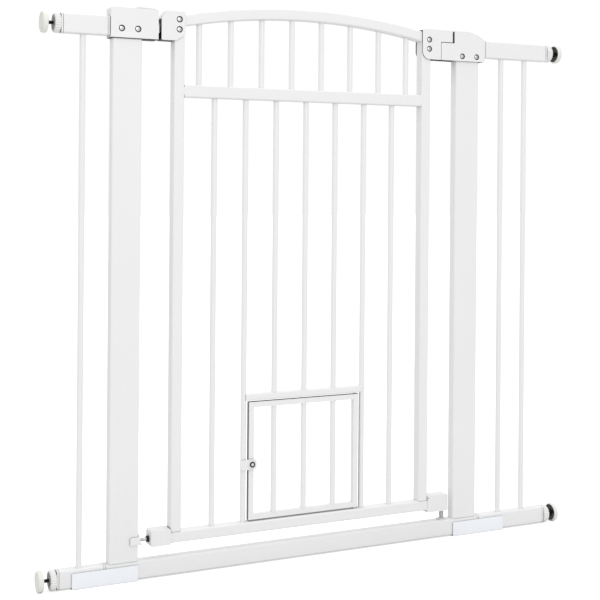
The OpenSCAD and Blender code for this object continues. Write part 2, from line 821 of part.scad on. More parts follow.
module lower_hinge_cap() {
    end = hinge_x + low_cap_r;
    z = [low_cap_z, low_cap_z + low_cap_h];
    color(SHELL) difference() {
        union() {
            intersection() {
                slab([-low_cap_r, low_cap_r]) difference() {
                    cut_rect([door_half + PLAY, end], z, [0, 0], [2, 2], [0, 0], [2, 1]);
                    round_corner([end, z[1]], [1, 1], 7);
                }
                union() {
                    rod(hinge_x, z, 2 * low_cap_r);
                    span([door_half, hinge_x], [-low_cap_r, low_cap_r], z);
                }
            }
            rail_block([door_half - plug_depth, door_half + 1]);
        }
        rod(hinge_x, [z[0] - 1, z[1] - 5], pin_d + 2 * RUN);
    }
}

module foot_cap() {
    y = 12.3;
    color(SHELL) difference() {
        union() {
            slab([-y, y])
                cut_rect([foot_x, -door_half - PLAY], [door_z - 1.5, foot_top],
                         [1.5, 1.5], [0, 0], [2, 1], [2, 2]);
            rail_block([-door_half - 1, -door_half + plug_depth]);
        }
        hole_x([foot_x - 1, foot_x + 15], pin_z, foot_pin_d / 2 + PLAY);
    }
}

// Adjustable pin with its lock nut: its tip rests in the post's catch.
module foot_pin() {
    nut_hex = foot_pin_d * 1.8;
    color(STEEL) {
        hole_x([notch_x + 0.5, foot_x + 14], pin_z, foot_pin_d / 2);
        translate([foot_x - 4.1, 0, pin_z]) rotate([0, 90, 0]) cylinder(d = nut_hex, h = 4, $fn = 6);
    }
}

// ---------------------------------------------------------------- cat flap

// The outline of the flap's square tube, drawn in from its faces by inset.
module flap_ring(inset) {
    translate([0, (flap_z0 + flap_z1) / 2]) difference() {
        square([2 * (flap_x - inset), flap_z1 - flap_z0 - 2 * inset], center = true);
        square([2 * (flap_x - flap_member + inset), flap_z1 - flap_z0 - 2 * (flap_member - inset)],
               center = true);
    }
}

module flap_frame() {
    y = flap_member / 2;
    color(WHITE) difference() {
        slab([-y, y]) flap_ring(0);
        slab([-y + tube_wall, y - tube_wall]) flap_ring(tube_wall);
        for (z = [flap_z0, flap_z1 - flap_member])
            rod(flap_axis, [z - 1, z + flap_member + 1], flap_pin_d + 2 * RUN);
        hole_y(-flap_axis, turn_z, screw_r + PLAY, [-y - 1, y + 1]);
    }
}

module flap_bars() {
    color(WHITE) for (x = bar_x) if (!beside_flap(x))
        bar(x, [flap_z0 + flap_member, flap_z1 - flap_member]);
}

module flap_pins() {
    color(STEEL) {
        rod(flap_axis, [sill_z - 5, flap_z0 + flap_member - 0.3], flap_pin_d);
        rod(flap_axis, [sill_z + 0.3, flap_z0], flap_pin_d + 3);
        rod(flap_axis, [flap_z1 - flap_member + 0.3, head_z + 7], flap_pin_d);
    }
}

turn_y = -max(bar_d, flap_member) / 2 - 0.35; // back face of the turn latch

module turn_latch() {
    h = turn_h / 2;
    color(SHELL) difference() {
        slab([turn_y - turn_t, turn_y])
            cut_rect([-flap_axis - turn_reach, -flap_axis + h], [turn_z - h, turn_z + h],
                     [3, 3], [3, 3], [3, 3], [6, 4]);
        hole_y(-flap_axis, turn_z, screw_r + RUN, [turn_y - turn_t - 1, turn_y + 1]);
    }
}

module flap_latch_screw() {
    head_y = turn_y - turn_t - 0.2;
    nut_y = flap_member / 2;
    color(STEEL) {
        difference() {
            hole_y(-flap_axis, turn_z, latch_head_r, [head_y - 2.2, head_y]);
            hole_y(-flap_axis, turn_z, latch_head_r - 1.2, [head_y - 3, head_y - 1.4]);
        }
        hole_y(-flap_axis, turn_z, screw_r, [head_y - 1.4, nut_y + 3]);
        translate([-flap_axis, nut_y + 2.4, turn_z]) rotate([90, 0, 0])
            cylinder(d = 7.4, h = 2.4, $fn = 6);
    }
}

// ---------------------------------------------------------------- slide latch

spring_r = 2.1;

// Its top falls away towards the door.
module slide_button() {
    z = cap_top + 0.3;
    color(SHELL) {
        slab([-6, 6]) polygon([
            [button_x, z], [button_x + button_w, z], [button_x + button_w, z + button_h / 2],
            [button_x + 2, z + button_h], [button_x, z + button_h - 1]
        ]);
        span([neck_x - neck_w / 2, neck_x + neck_w / 2], [-3, 3], [bolt_z + bolt_h / 2, z]);
    }
}

module latch_bolt() {
    color(STEEL) span([bolt_tail, cap_left + bolt_in], [-bolt_d / 2, bolt_d / 2],
                      [bolt_z - bolt_h / 2, bolt_z + bolt_h / 2]);
}

// Return spring behind the bolt, here as the sleeve that its coils fill.
module latch_spring() {
    color(STEEL) difference() {
        hole_x([left_x + 4.1, bolt_tail - 0.1], bolt_z, spring_r);
        hole_x([left_x + 4, bolt_tail], bolt_z, spring_r - 0.6);
    }
}

// ---------------------------------------------------------------- assembly

at_gate() threshold_rail();
at_gate() left_post();
at_gate() right_post();
at_gate() latch_housing_front();
at_gate() latch_housing_back();
at_gate() hinge_housing_front();
at_gate() hinge_housing_back();
at_gate() housing_screws();
at_gate() door_catch();
at_gate() threshold_bush();
at_gate() left_top_rail();
at_gate() left_bottom_rail();
at_gate() left_panel_bar();
at_gate() right_top_rail();
at_gate() right_bottom_rail();
at_gate() right_panel_bars();
at_gate() panel_plugs();
at_gate() left_sleeve();
at_gate() right_sleeve();
at_gate() spindle_bushes();
at_gate() upper_hinge_pin();
at_gate() lower_hinge_pin();
at_gate() closer_spring();
at_gate() latch_stile();
at_gate() hinge_stile();
at_gate() arch_rail();
at_gate() mid_rail();
at_gate() bottom_rail();
at_gate() flap_header();
at_gate() upper_bars();
at_gate() long_bars();
at_gate() short_bars();
at_gate() latch_cap_front();
at_gate() latch_cap_back();
at_gate() hinge_cap_front();
at_gate() hinge_cap_back();
at_gate() lower_hinge_cap();
at_gate() foot_cap();
at_gate() foot_pin();
at_gate() cap_screws();
at_gate() flap_frame();
at_gate() flap_bars();
at_gate() flap_pins();
at_gate() flap_latch_screw();
at_gate() turn_latch();
at_gate() slide_button();
at_gate() latch_bolt();
at_gate() latch_spring();
at_gate() spindle_top_left();
at_gate() spindle_bottom_left();
at_gate() spindle_top_right();
at_gate() spindle_bottom_right();
at_gate() cup_top_left();
at_gate() cup_bottom_left();
at_gate() cup_top_right();
at_gate() cup_bottom_right();
at_gate() nut_top_left();
at_gate() nut_bottom_left();
at_gate() nut_top_right();
at_gate() nut_bottom_right();
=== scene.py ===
# %% [markdown]
# # A pressure-fit pet gate, finished in Blender
# The CAD model gives every tube, housing and pin its true size and place. This
# lesson dresses it: powder-coated steel, moulded plastic, zinc screws, threads,
# springs and rubber cups. Each step says what the piece is on the real gate, how
# it could be made, and why this way was chosen.

# %% Start from the CAD frame
import json
import math

import bmesh
import bpy
from mathutils import Matrix, Vector


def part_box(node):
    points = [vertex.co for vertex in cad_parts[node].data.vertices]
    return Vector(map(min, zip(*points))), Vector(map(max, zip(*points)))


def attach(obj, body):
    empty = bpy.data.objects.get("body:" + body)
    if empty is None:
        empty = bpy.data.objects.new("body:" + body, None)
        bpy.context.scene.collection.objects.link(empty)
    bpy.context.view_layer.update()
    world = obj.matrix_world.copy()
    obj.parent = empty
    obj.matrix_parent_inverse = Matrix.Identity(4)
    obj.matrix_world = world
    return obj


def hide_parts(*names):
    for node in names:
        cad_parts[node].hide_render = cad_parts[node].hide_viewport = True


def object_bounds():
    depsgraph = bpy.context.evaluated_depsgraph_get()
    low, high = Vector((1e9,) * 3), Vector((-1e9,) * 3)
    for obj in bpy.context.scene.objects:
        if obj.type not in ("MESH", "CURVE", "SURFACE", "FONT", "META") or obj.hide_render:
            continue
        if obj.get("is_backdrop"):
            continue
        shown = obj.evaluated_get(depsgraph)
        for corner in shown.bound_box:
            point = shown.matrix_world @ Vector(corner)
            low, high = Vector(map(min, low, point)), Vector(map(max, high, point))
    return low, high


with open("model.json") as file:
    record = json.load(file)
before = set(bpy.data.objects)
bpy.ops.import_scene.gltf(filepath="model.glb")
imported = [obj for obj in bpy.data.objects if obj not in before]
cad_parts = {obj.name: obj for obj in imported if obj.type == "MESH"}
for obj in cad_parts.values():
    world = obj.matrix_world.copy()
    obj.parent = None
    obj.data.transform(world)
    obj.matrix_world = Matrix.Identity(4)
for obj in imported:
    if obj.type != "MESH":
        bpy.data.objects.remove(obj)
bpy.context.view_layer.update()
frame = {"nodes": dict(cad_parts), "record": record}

nodes = frame["nodes"]
MM = 0.001

# %% [markdown]
# ## Camera, light and floor
# The gate is a product standing in a white studio. A gate is tall and thin, so a
# long lens keeps its posts upright, and the camera stays level: the picture is
# moved down with the lens shift, as an architectural photographer does. The
# sensor's height sets the view, and its smaller width only makes a camera that
# walks round the gate stand further back, which leaves room for the shift. The
# light is a white room with two large soft panels, which give almost no shading;
# the thin dark lines in the joints are painted shade.

# %% The camera
camera_data = bpy.data.cameras.new("studio_camera")
camera_data.lens = 73.3
camera_data.sensor_fit = "VERTICAL"
camera_data.sensor_height = 36
camera_data.sensor_width = 31
camera_data.shift_y = -0.2
camera = bpy.data.objects.new("studio_camera", camera_data)
camera.location = (-0.9415, -1.852, 0.6337)
turn_right = Matrix.Rotation(math.radians(-25.82), 4, "Z")
level = Matrix.Rotation(math.radians(90), 4, "X")
lean = Matrix.Rotation(0.008, 4, "Z")
camera.rotation_euler = (turn_right @ level @ lean).to_euler()
bpy.context.scene.collection.objects.link(camera)
bpy.context.scene.camera = camera
print("camera stands", round((camera.location - Vector((0, 0, 0.45))).length, 2), "m away")

# %% The white room and the soft panels
room = bpy.data.worlds.new("white_room")
room.use_nodes = True
bpy.context.scene.world = room
wall = room.node_tree.nodes["Background"]
wall.inputs["Color"].default_value = (1, 1, 1, 1)
seen = room.node_tree.nodes.new("ShaderNodeLightPath")
strength = room.node_tree.nodes.new("ShaderNodeMapRange")
strength.inputs["To Min"].default_value = 0.92
strength.inputs["To Max"].default_value = 1.02
room.node_tree.links.new(seen.outputs["Is Camera Ray"], strength.inputs["Value"])
room.node_tree.links.new(strength.outputs["Result"], wall.inputs["Strength"])
bpy.context.scene.view_settings.view_transform = "Standard"


def soft_panel(name, place, aim, size, watts):
    """A square area light at place that shines on aim."""
    light = bpy.data.lights.new(name, "AREA")
    light.size = size
    light.energy = watts
    lamp = bpy.data.objects.new(name, light)
    lamp.location = place
    lamp.rotation_euler = (Vector(aim) - Vector(place)).to_track_quat("-Z", "Y").to_euler()
    bpy.context.scene.collection.objects.link(lamp)
    return lamp


soft_panel("front_panel", (-0.6, -2.6, 1.9), (0, 0, 0.45), 1.6, 19)
soft_panel("top_panel", (0.3, 0.4, 2.6), (0, 0, 0.4), 1.8, 13)
print("lights:", len(bpy.data.lights))

# %% [markdown]
# ## Shader groups that several finishes share
# Real surfaces are never one flat number. Powder coat has an orange-peel skin,
# moulded plastic a fine spark-eroded grain, and all of them drift a little in
# colour. Each effect is built once as a node group and placed in every material
# with its own values. The groups put out only colours, masks and heights: the
# shader itself stays in the material.

# %% A helper for shader groups


def shader_group(name, takes, gives):
    """A shader node group with named inputs and outputs."""
    group = bpy.data.node_groups.new(name, "ShaderNodeTree")
    for label, kind, value in takes:
        socket = group.interface.new_socket(label, in_out="INPUT", socket_type=kind)
        socket.default_value = value
    for label, kind in gives:
        group.interface.new_socket(label, in_out="OUTPUT", socket_type=kind)
    return group, group.nodes.new("NodeGroupInput"), group.nodes.new("NodeGroupOutput")


FLOAT, COLOUR, VECTOR = "NodeSocketFloat", "NodeSocketColor", "NodeSocketVector"

# %% Colour drift: large soft patches that are a little lighter or darker
drift, start, end = shader_group(
    "colour_drift",
    [("Light", COLOUR, (0.85, 0.85, 0.85, 1)), ("Dark", COLOUR, (0.8, 0.8, 0.8, 1)),
     ("Scale", FLOAT, 8)],
    [("Colour", COLOUR), ("Mask", FLOAT)],
)
where = drift.nodes.new("ShaderNodeTexCoord")
cloud = drift.nodes.new("ShaderNodeTexNoise")
cloud.inputs["Detail"].default_value = 4
mix = drift.nodes.new("ShaderNodeMix")
mix.data_type = "RGBA"
drift.links.new(where.outputs["Object"], cloud.inputs["Vector"])
drift.links.new(start.outputs["Scale"], cloud.inputs["Scale"])
drift.links.new(cloud.outputs["Fac"], mix.inputs["Factor"])
drift.links.new(start.outputs["Light"], mix.inputs["A"])
drift.links.new(start.outputs["Dark"], mix.inputs["B"])
drift.links.new(mix.outputs["Result"], end.inputs["Colour"])
drift.links.new(cloud.outputs["Fac"], end.inputs["Mask"])
print("group:", drift.name)

# %% Skin: a fine bumpy height and the roughness that goes with it
skin, start, end = shader_group(
    "fine_skin",
    [("Scale", FLOAT, 900), ("Low", FLOAT, 0.3), ("High", FLOAT, 0.4)],
    [("Height", FLOAT), ("Roughness", FLOAT)],
)
where = skin.nodes.new("ShaderNodeTexCoord")
pits = skin.nodes.new("ShaderNodeTexNoise")
pits.inputs["Detail"].default_value = 2
spread = skin.nodes.new("ShaderNodeMapRange")
skin.links.new(where.outputs["Object"], pits.inputs["Vector"])
skin.links.new(start.outputs["Scale"], pits.inputs["Scale"])
skin.links.new(pits.outputs["Fac"], spread.inputs["Value"])
skin.links.new(start.outputs["Low"], spread.inputs["To Min"])
skin.links.new(start.outputs["High"], spread.inputs["To Max"])
skin.links.new(pits.outputs["Fac"], end.inputs["Height"])
skin.links.new(spread.outputs["Result"], end.inputs["Roughness"])
print("group:", skin.name)

# %% Dust: a faint film that settles on faces that look up
dust, start, end = shader_group(
    "settled_dust",
    [("Colour", COLOUR, (0.85, 0.85, 0.85, 1)), ("Dust", COLOUR, (0.7, 0.68, 0.64, 1)),
     ("Amount", FLOAT, 0.1)],
    [("Colour", COLOUR)],
)
facing = dust.nodes.new("ShaderNodeNewGeometry")
split = dust.nodes.new("ShaderNodeSeparateXYZ")
up = dust.nodes.new("ShaderNodeMapRange")
up.inputs["From Min"].default_value = 0.6
patchy = dust.nodes.new("ShaderNodeTexNoise")
patchy.inputs["Scale"].default_value = 60
place = dust.nodes.new("ShaderNodeTexCoord")
both = dust.nodes.new("ShaderNodeMath")
both.operation = "MULTIPLY"
share = dust.nodes.new("ShaderNodeMath")
share.operation = "MULTIPLY"
film = dust.nodes.new("ShaderNodeMix")
film.data_type = "RGBA"
dust.links.new(facing.outputs["Normal"], split.inputs["Vector"])
dust.links.new(split.outputs["Z"], up.inputs["Value"])
dust.links.new(place.outputs["Object"], patchy.inputs["Vector"])
dust.links.new(patchy.outputs["Fac"], both.inputs[0])
dust.links.new(up.outputs["Result"], both.inputs[1])
dust.links.new(both.outputs["Value"], share.inputs[0])
dust.links.new(start.outputs["Amount"], share.inputs[1])
dust.links.new(share.outputs["Value"], film.inputs["Factor"])
dust.links.new(start.outputs["Colour"], film.inputs["A"])
dust.links.new(start.outputs["Dust"], film.inputs["B"])
dust.links.new(film.outputs["Result"], end.inputs["Colour"])
print("group:", dust.name)

# %% [markdown]
# ## The finishes
# The gate has few materials, and nearly all are white, so they must differ in
# how they take light: the powder coat is a satin film over steel, the housings
# are a slightly duller moulded plastic, the sleeves a glossier bluish one, the
# cups a warm matt rubber. One function places the shared groups, and each finish
# gives it its own numbers.

# %% A finish from colour drift, dust, a fine skin and painted crevice shade


def finish(name, light, dark, grain, rough, bump, depth, metal=0.0, dusty=0.1, coat=0.0,
           crevice=4 * MM, shade_range=(0.15, 0.65)):
    """A Principled material: light and dark colours, grain per metre, (low, high) roughness.

    Painted shade darkens what is nearly closed in within the crevice distance, such as joints,
    wells and slots: fully below the first number of the range of open air, and not at all above the second.
    """
    material = bpy.data.materials.new(name)
    material.use_nodes = True
    tree = material.node_tree
    shader = tree.nodes["Principled BSDF"]
    shader.inputs["Metallic"].default_value = metal
    shader.inputs["Coat Weight"].default_value = coat
    shader.inputs["Coat Roughness"].default_value = 0.2
    shader.inputs["Specular IOR Level"].default_value = 0.4
    colour = tree.nodes.new("ShaderNodeGroup")
    colour.node_tree = drift
    colour.inputs["Light"].default_value = (*light, 1)
    colour.inputs["Dark"].default_value = (*dark, 1)
    settled = tree.nodes.new("ShaderNodeGroup")
    settled.node_tree = dust
    settled.inputs["Amount"].default_value = dusty
    surface = tree.nodes.new("ShaderNodeGroup")
    surface.node_tree = skin
    surface.inputs["Scale"].default_value = grain
    surface.inputs["Low"].default_value = rough[0]
    surface.inputs["High"].default_value = rough[1]
    relief = tree.nodes.new("ShaderNodeBump")
    relief.inputs["Strength"].default_value = bump
    relief.inputs["Distance"].default_value = depth
    tree.links.new(colour.outputs["Colour"], settled.inputs["Colour"])
    # Painted shade: faces nearly closed in within the crevice distance are darkened towards a near-black colour, as the
    # shade that falls in joints, wells and slots.
    hidden = tree.nodes.new("ShaderNodeAmbientOcclusion")
    hidden.samples = 8
    hidden.inputs["Distance"].default_value = crevice
    open_air = tree.nodes.new("ShaderNodeMapRange")
    open_air.inputs["From Min"].default_value = shade_range[0]
    open_air.inputs["From Max"].default_value = shade_range[1]
    crevice_shade = tree.nodes.new("ShaderNodeMix")
    crevice_shade.data_type = "RGBA"
    crevice_shade.inputs["A"].default_value = (light[0] * 0.04, light[1] * 0.04, light[2] * 0.042, 1)
    tree.links.new(hidden.outputs["AO"], open_air.inputs["Value"])
    tree.links.new(open_air.outputs["Result"], crevice_shade.inputs["Factor"])
    tree.links.new(settled.outputs["Colour"], crevice_shade.inputs["B"])
    tree.links.new(crevice_shade.outputs["Result"], shader.inputs["Base Color"])
    tree.links.new(surface.outputs["Roughness"], shader.inputs["Roughness"])
    tree.links.new(surface.outputs["Height"], relief.inputs["Height"])
    tree.links.new(relief.outputs["Normal"], shader.inputs["Normal"])
    return material


# %% The gate's finishes
powder_coat = finish("white_powder_coat", (0.825, 0.825, 0.83), (0.795, 0.795, 0.8),
                     700, (0.26, 0.42), 0.25, 0.0001, dusty=0.06, coat=0.2)
# The moulded plastic's painted crevice shade reaches further, so the narrow steps beside the shells read as dark rims.
shell_plastic = finish("white_moulded_plastic", (0.82, 0.82, 0.826), (0.79, 0.79, 0.798),
                       2600, (0.38, 0.5), 0.3, 0.00006, crevice=9 * MM, shade_range=(0.22, 0.72))
sleeve_plastic = finish("bluish_sleeve_plastic", (0.88, 0.9, 0.94), (0.85, 0.87, 0.92),
                        1800, (0.2, 0.3), 0.15, 0.00005, coat=0.3)
cup_rubber = finish("warm_white_rubber", (0.8, 0.815, 0.76), (0.74, 0.755, 0.7),
                    1500, (0.6, 0.8), 0.5, 0.00012)
nut_plastic = finish("hand_nut_plastic", (0.81, 0.82, 0.8), (0.77, 0.78, 0.76),
                     2200, (0.4, 0.55), 0.3, 0.00008)
insert_grey = finish("grey_nut_insert", (0.4, 0.4, 0.4), (0.33, 0.33, 0.335),
                     1800, (0.35, 0.5), 0.3, 0.00008)
zinc_steel = finish("zinc_plated_steel", (0.86, 0.87, 0.88), (0.7, 0.71, 0.73),
                    1400, (0.2, 0.38), 0.3, 0.00006, metal=1.0, dusty=0.0, crevice=2 * MM)
black_steel = finish("black_oxide_steel", (0.035, 0.035, 0.038), (0.02, 0.02, 0.021),
                     1600, (0.3, 0.5), 0.4, 0.00008, metal=0.6, dusty=0.0)
# Near-black finish that paints shade on faces inside hollows, gaps, wells and joints that lie in deep shade.
shade_black = finish("painted_shade_black", (0.022, 0.022, 0.024), (0.012, 0.012, 0.013),
                      2400, (0.35, 0.55), 0.3, 0.00006, dusty=0.0)
# Dark grey finish that paints the shade in the gap round the cat flap.
gap_shade_grey = finish("painted_gap_shade_grey", (0.2, 0.2, 0.205), (0.15, 0.15, 0.155),
                     1800, (0.6, 0.8), 0.4, 0.0001, dusty=0.0)
# The backing plate is shiny steel; its near-black colour paints the dark reflection that it shows.
plate_dark_reflection = finish("backing_plate_painted_reflection", (0.014, 0.014, 0.015), (0.008, 0.008, 0.009),
                     300, (0.12, 0.24), 0.1, 0.00005, metal=0.2, dusty=0.0, coat=0.1)
print("finishes:", len(bpy.data.materials))

# %% Each CAD piece gets its finish
by_slot = {
    "painted_steel": powder_coat,
    "moulded_plastic": shell_plastic,
    "sleeve_plastic": sleeve_plastic,
    "cup_rubber": cup_rubber,
    "nut_plastic": nut_plastic,
    "zinc_steel": zinc_steel,
    "black_steel": black_steel,
}
for part in frame["record"]["subparts"]:
    piece = nodes[part["node"]]
    piece.data.materials.clear()
    piece.data.materials.append(by_slot[part["material_slot"]])

# %% [markdown]
# ## Tools of this lesson
# Positions are read from the CAD pieces, so nothing is measured twice. These
# helpers list the separate solids of a CAD piece, turn a profile about an axis as
# a lathe does, put meshes together, and hand the finished piece to the body of
# the gate that it moves with.

# %% Which body and which material slot each CAD piece has
body_of = {node: body for body,
           held in frame["record"]["behaviour"]["bodies"].items() for node in held}
slot_of = {part["node"]: part["material_slot"] for part in frame["record"]["subparts"]}
print("bodies:", sorted(set(body_of.values())))

# %% The separate solids of a CAD piece


def solids(node):
    """Boxes (low, high) of a CAD piece's separate solids, from left to right."""
    work = bmesh.new()
    work.from_mesh(nodes[node].data)
    bmesh.ops.remove_doubles(work, verts=work.verts, dist=1e-6)
    left, found = set(work.verts), []
    while left:
        edge_of_search = [left.pop()]
        island = list(edge_of_search)
        while edge_of_search:
            vert = edge_of_search.pop()
            for other in (e.other_vert(vert) for e in vert.link_edges):
                if other in left:
                    left.remove(other)
                    edge_of_search.append(other)
                    island.append(other)
        points = [v.co for v in island]
        low = Vector(min(p[i] for p in points) for i in range(3))
        high = Vector(max(p[i] for p in points) for i in range(3))
        found.append((low, high))
    work.free()
    return sorted(found, key=lambda box: (round(box[0].x, 5), box[0].z))


print("upper bars:", len(solids("upper_bars")), "long bars:", len(solids("long_bars")))

# %% Meshes from a lathe, and meshes put together


def lathe(profile, steps=48):
    """A closed mesh turned about Z from (height, radius) pairs that start and end at radius 0."""
    turned = bmesh.new()
    rings = []
    for height, radius in profile:
        if radius < 1e-7:
            rings.append([turned.verts.new((0, 0, height))])
            continue
        turns = [2 * math.pi * i / steps for i in range(steps)]
        rings.append([turned.verts.new((radius * math.cos(t), radius * math.sin(t),
                                        height)) for t in turns])
    for lower, upper in zip(rings, rings[1:]):
        for i in range(steps):
            j = (i + 1) % steps
            corners = [lower[i % len(lower)], lower[j % len(lower)], upper[j % len(upper)],
                       upper[i % len(upper)]]
            turned.faces.new(list(dict.fromkeys(corners)))
    bmesh.ops.recalc_face_normals(turned, faces=turned.faces)
    mesh = bpy.data.meshes.new("turned")
    turned.to_mesh(mesh)
    turned.free()
    return mesh


def join(name, parts, crease=35):
    """One object from [(mesh, finish), ...], smooth except over the crease angle in degrees."""
    whole, finishes = bmesh.new(), []
    for mesh, material in parts:
        if material not in finishes:
            finishes.append(material)
        first = len(whole.faces)
        whole.from_mesh(mesh)
        whole.faces.ensure_lookup_table()
        for face in whole.faces[first:]:
            face.material_index = finishes.index(material)
            face.smooth = True
    joined = bpy.data.meshes.new(name)
    whole.to_mesh(joined)
    whole.free()
    for material in finishes:
        joined.materials.append(material)
    joined.set_sharp_from_angle(angle=math.radians(crease))
    piece = bpy.data.objects.new(name, joined)
    bpy.context.scene.collection.objects.link(piece)
    return piece


def moved(mesh, place):
    """A copy of mesh with its place in its points."""
    copy = mesh.copy()
    copy.transform(place)
    return copy


def hand_over(piece, body, *stands_for):
    """Fixes a piece to its body and hides the CAD pieces that it stands for."""
    if stands_for:
        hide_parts(*stands_for)
    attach(piece, body)
    faces = len(piece.data.polygons)
    print(piece.name, "on", body, "with", faces, "faces")
    return piece


# %% Geometry Nodes made into a plain mesh


def add(tree, kind, **settings):
    """A new node of that kind with its settings."""
    node = tree.nodes.new(kind)
    for key, value in settings.items():
        setattr(node, key, value)
    return node


def grown(tree, values, mesh=None):
    """The plain mesh that a node tree makes from mesh with these named values."""
    holder = bpy.data.objects.new("holder", mesh or bpy.data.meshes.new("empty"))
    bpy.context.scene.collection.objects.link(holder)
    maker = holder.modifiers.new("maker", "NODES")
    maker.node_group = tree
    for item in tree.interface.items_tree:
        if item.in_out == "INPUT" and item.name in values:
            maker[item.identifier] = values[item.name]
    seen = bpy.context.evaluated_depsgraph_get()
    result = bpy.data.meshes.new_from_object(holder.evaluated_get(seen))
    holder.modifiers.remove(maker)
    bpy.data.objects.remove(holder)
    return result


def start_tree(name, inputs):
    """A Geometry Nodes tree with named inputs; returns it with its two end nodes."""
    tree = bpy.data.node_groups.new(name, "GeometryNodeTree")
    tree.interface.new_socket("Geometry", in_out="INPUT", socket_type="NodeSocketGeometry")
    for label, kind, value in inputs:
        socket = tree.interface.new_socket(label, in_out="INPUT", socket_type=kind)
        if value is not None:
            socket.default_value = value
    tree.interface.new_socket("Geometry", in_out="OUTPUT", socket_type="NodeSocketGeometry")
    return tree, tree.nodes.new("NodeGroupInput"), tree.nodes.new("NodeGroupOutput")


def finish_tree(tree, last, end, material):
    """Ends a tree in Realize Instances and Set Material."""
    real = tree.nodes.new("GeometryNodeRealizeInstances")
    paint = tree.nodes.new("GeometryNodeSetMaterial")
    paint.inputs["Material"].default_value = material
    tree.links.new(last, real.inputs["Geometry"])
    tree.links.new(real.outputs["Geometry"], paint.inputs["Geometry"])
    tree.links.new(paint.outputs["Geometry"], end.inputs["Geometry"])
    return tree


INT, OBJECT, MATERIAL = "NodeSocketInt", "NodeSocketObject", "NodeSocketMaterial"

# %% [markdown]
# ## Moulded pieces with soft edges and hollow undersides
# An injection mould has no sharp edges: every rim is rounded by half a
# millimetre or so, and where two mouldings meet, the two roundings make a fine
# groove. Real shells are thin and open below, so pockets are cut into the solid ones,
# and the faces inside the pockets are painted black as the shade in the hollow. The CAD
# shapes are exact but sharp, so each one is copied, its triangles are merged back into
# faces, and a Bevel modifier rounds its edges. A narrow bevel with two segments costs
# few faces and catches the light as a mould edge.

# %% A softened copy of a CAD piece


def softened(node, width, pockets=(), crease=40):
    """A copy of a CAD piece with rounded edges, hollowed by box-shaped pockets whose faces are painted black as shade,
    which stands for it.
    """
    work = bmesh.new()
    work.from_mesh(nodes[node].data)
    bmesh.ops.remove_doubles(work, verts=work.verts, dist=2e-6)
    bmesh.ops.dissolve_limit(work, angle_limit=math.radians(1.5), verts=work.verts,
                             edges=work.edges)
    mesh = bpy.data.meshes.new("soft_" + node)
    work.to_mesh(mesh)
    work.free()
    mesh.materials.append(by_slot[slot_of[node]])
    for face in mesh.polygons:
        face.use_smooth = True
    mesh.set_sharp_from_angle(angle=math.radians(crease))
    piece = bpy.data.objects.new("soft_" + node, mesh)
    bpy.context.scene.collection.objects.link(piece)
    if pockets:
        boxes = bmesh.new()
        for low, high in pockets:
            size = Matrix.Diagonal((*(high - low), 1))
            bmesh.ops.create_cube(boxes, size=1,
                                  matrix=Matrix.Translation((low + high) / 2) @ size)
        box_mesh = bpy.data.meshes.new("pockets")
        boxes.to_mesh(box_mesh)
        boxes.free()
        cutter = bpy.data.objects.new("pockets", box_mesh)
        bpy.context.scene.collection.objects.link(cutter)
        hollow = piece.modifiers.new("hollow", "BOOLEAN")
        hollow.object = cutter
        hollow.solver = "EXACT"
        seen = bpy.context.evaluated_depsgraph_get()
        hollowed = bpy.data.meshes.new_from_object(piece.evaluated_get(seen))
        piece.modifiers.remove(hollow)
        bpy.data.objects.remove(cutter)
        piece.data = hollowed
        # Painted shade: the faces inside the pockets get the near-black finish, as the shade inside the hollow shells.
        hollowed.materials.append(shade_black)
        for face in hollowed.polygons:
            face.use_smooth = True
            for low, high in pockets:
                if all(low[i] - 1e-5 < face.center[i] < high[i] + 1e-5 for i in range(3)):
                    face.material_index = 1
        hollowed.set_sharp_from_angle(angle=math.radians(crease))
    rim = piece.modifiers.new("rim", "BEVEL")
    rim.width = width
    rim.segments = 2
    rim.limit_method = "ANGLE"
    rim.angle_limit = math.radians(crease)
    rim.harden_normals = True
    return hand_over(piece, body_of[node], node)


# %% Housings, caps and small mouldings
soft_edges = {
    "latch_housing_front": 0.7, "latch_housing_back": 0.7,
    "hinge_housing_front": 0.7, "hinge_housing_back": 0.7,
    "latch_cap_front": 0.6, "latch_cap_back": 0.6, "hinge_cap_front": 0.6,
    "hinge_cap_back": 0.6,
    "lower_hinge_cap": 0.8, "foot_cap": 0.8, "door_catch": 0.5, "turn_latch": 0.5,
    "left_sleeve": 0.5, "right_sleeve": 0.5, "panel_plugs": 0.35, "spindle_bushes": 0.35,
    "threshold_bush": 0.3, "flap_frame": 0.9,
}
shell_wall = 2 * MM
post_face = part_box("left_post")[1].x
hinge_post_face, hinge_post_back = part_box("right_post")[0].x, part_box("right_post")[1].x
pin_low, pin_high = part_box("upper_hinge_pin")
pockets = {}
for half in ("front", "back"):
    y0, y1 = (-10 * MM, -1.2 * MM) if half == "front" else (1.2 * MM, 10 * MM)
    low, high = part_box("latch_housing_" + half)
    under = low.z - MM
    pockets["latch_housing_" + half] = [
        (Vector((post_face + MM, y0, under)), Vector((high.x - shell_wall, y1,
                                                      high.z - 26 * MM)))]
    low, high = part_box("hinge_housing_" + half)
    pockets["hinge_housing_" + half] = [
        (Vector((low.x + shell_wall, y0, low.z - MM)),
         Vector((pin_low.x - 1.5 * MM, y1, low.z + 9 * MM))),
        (Vector((pin_high.x + 1.5 * MM, y0, low.z - MM)),
         Vector((hinge_post_face - MM, y1, low.z + 9 * MM))),
        (Vector((hinge_post_back + MM, y0, low.z - MM)),
         Vector((high.x - 2.5 * MM, y1, low.z + 10 * MM)))]
    low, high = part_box("hinge_cap_" + half)
    stile_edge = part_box("hinge_stile")[1].x
    shelf_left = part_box("hinge_housing_" + half)[0].x
    pockets["hinge_cap_" + half] = [
        (Vector((stile_edge + shell_wall, y0, low.z - MM)),
         Vector((shelf_left - 3.5 * MM, y1, high.z - 24 * MM)))]
for node, rim in soft_edges.items():
    softened(node, rim * MM, pockets.get(node, ()))
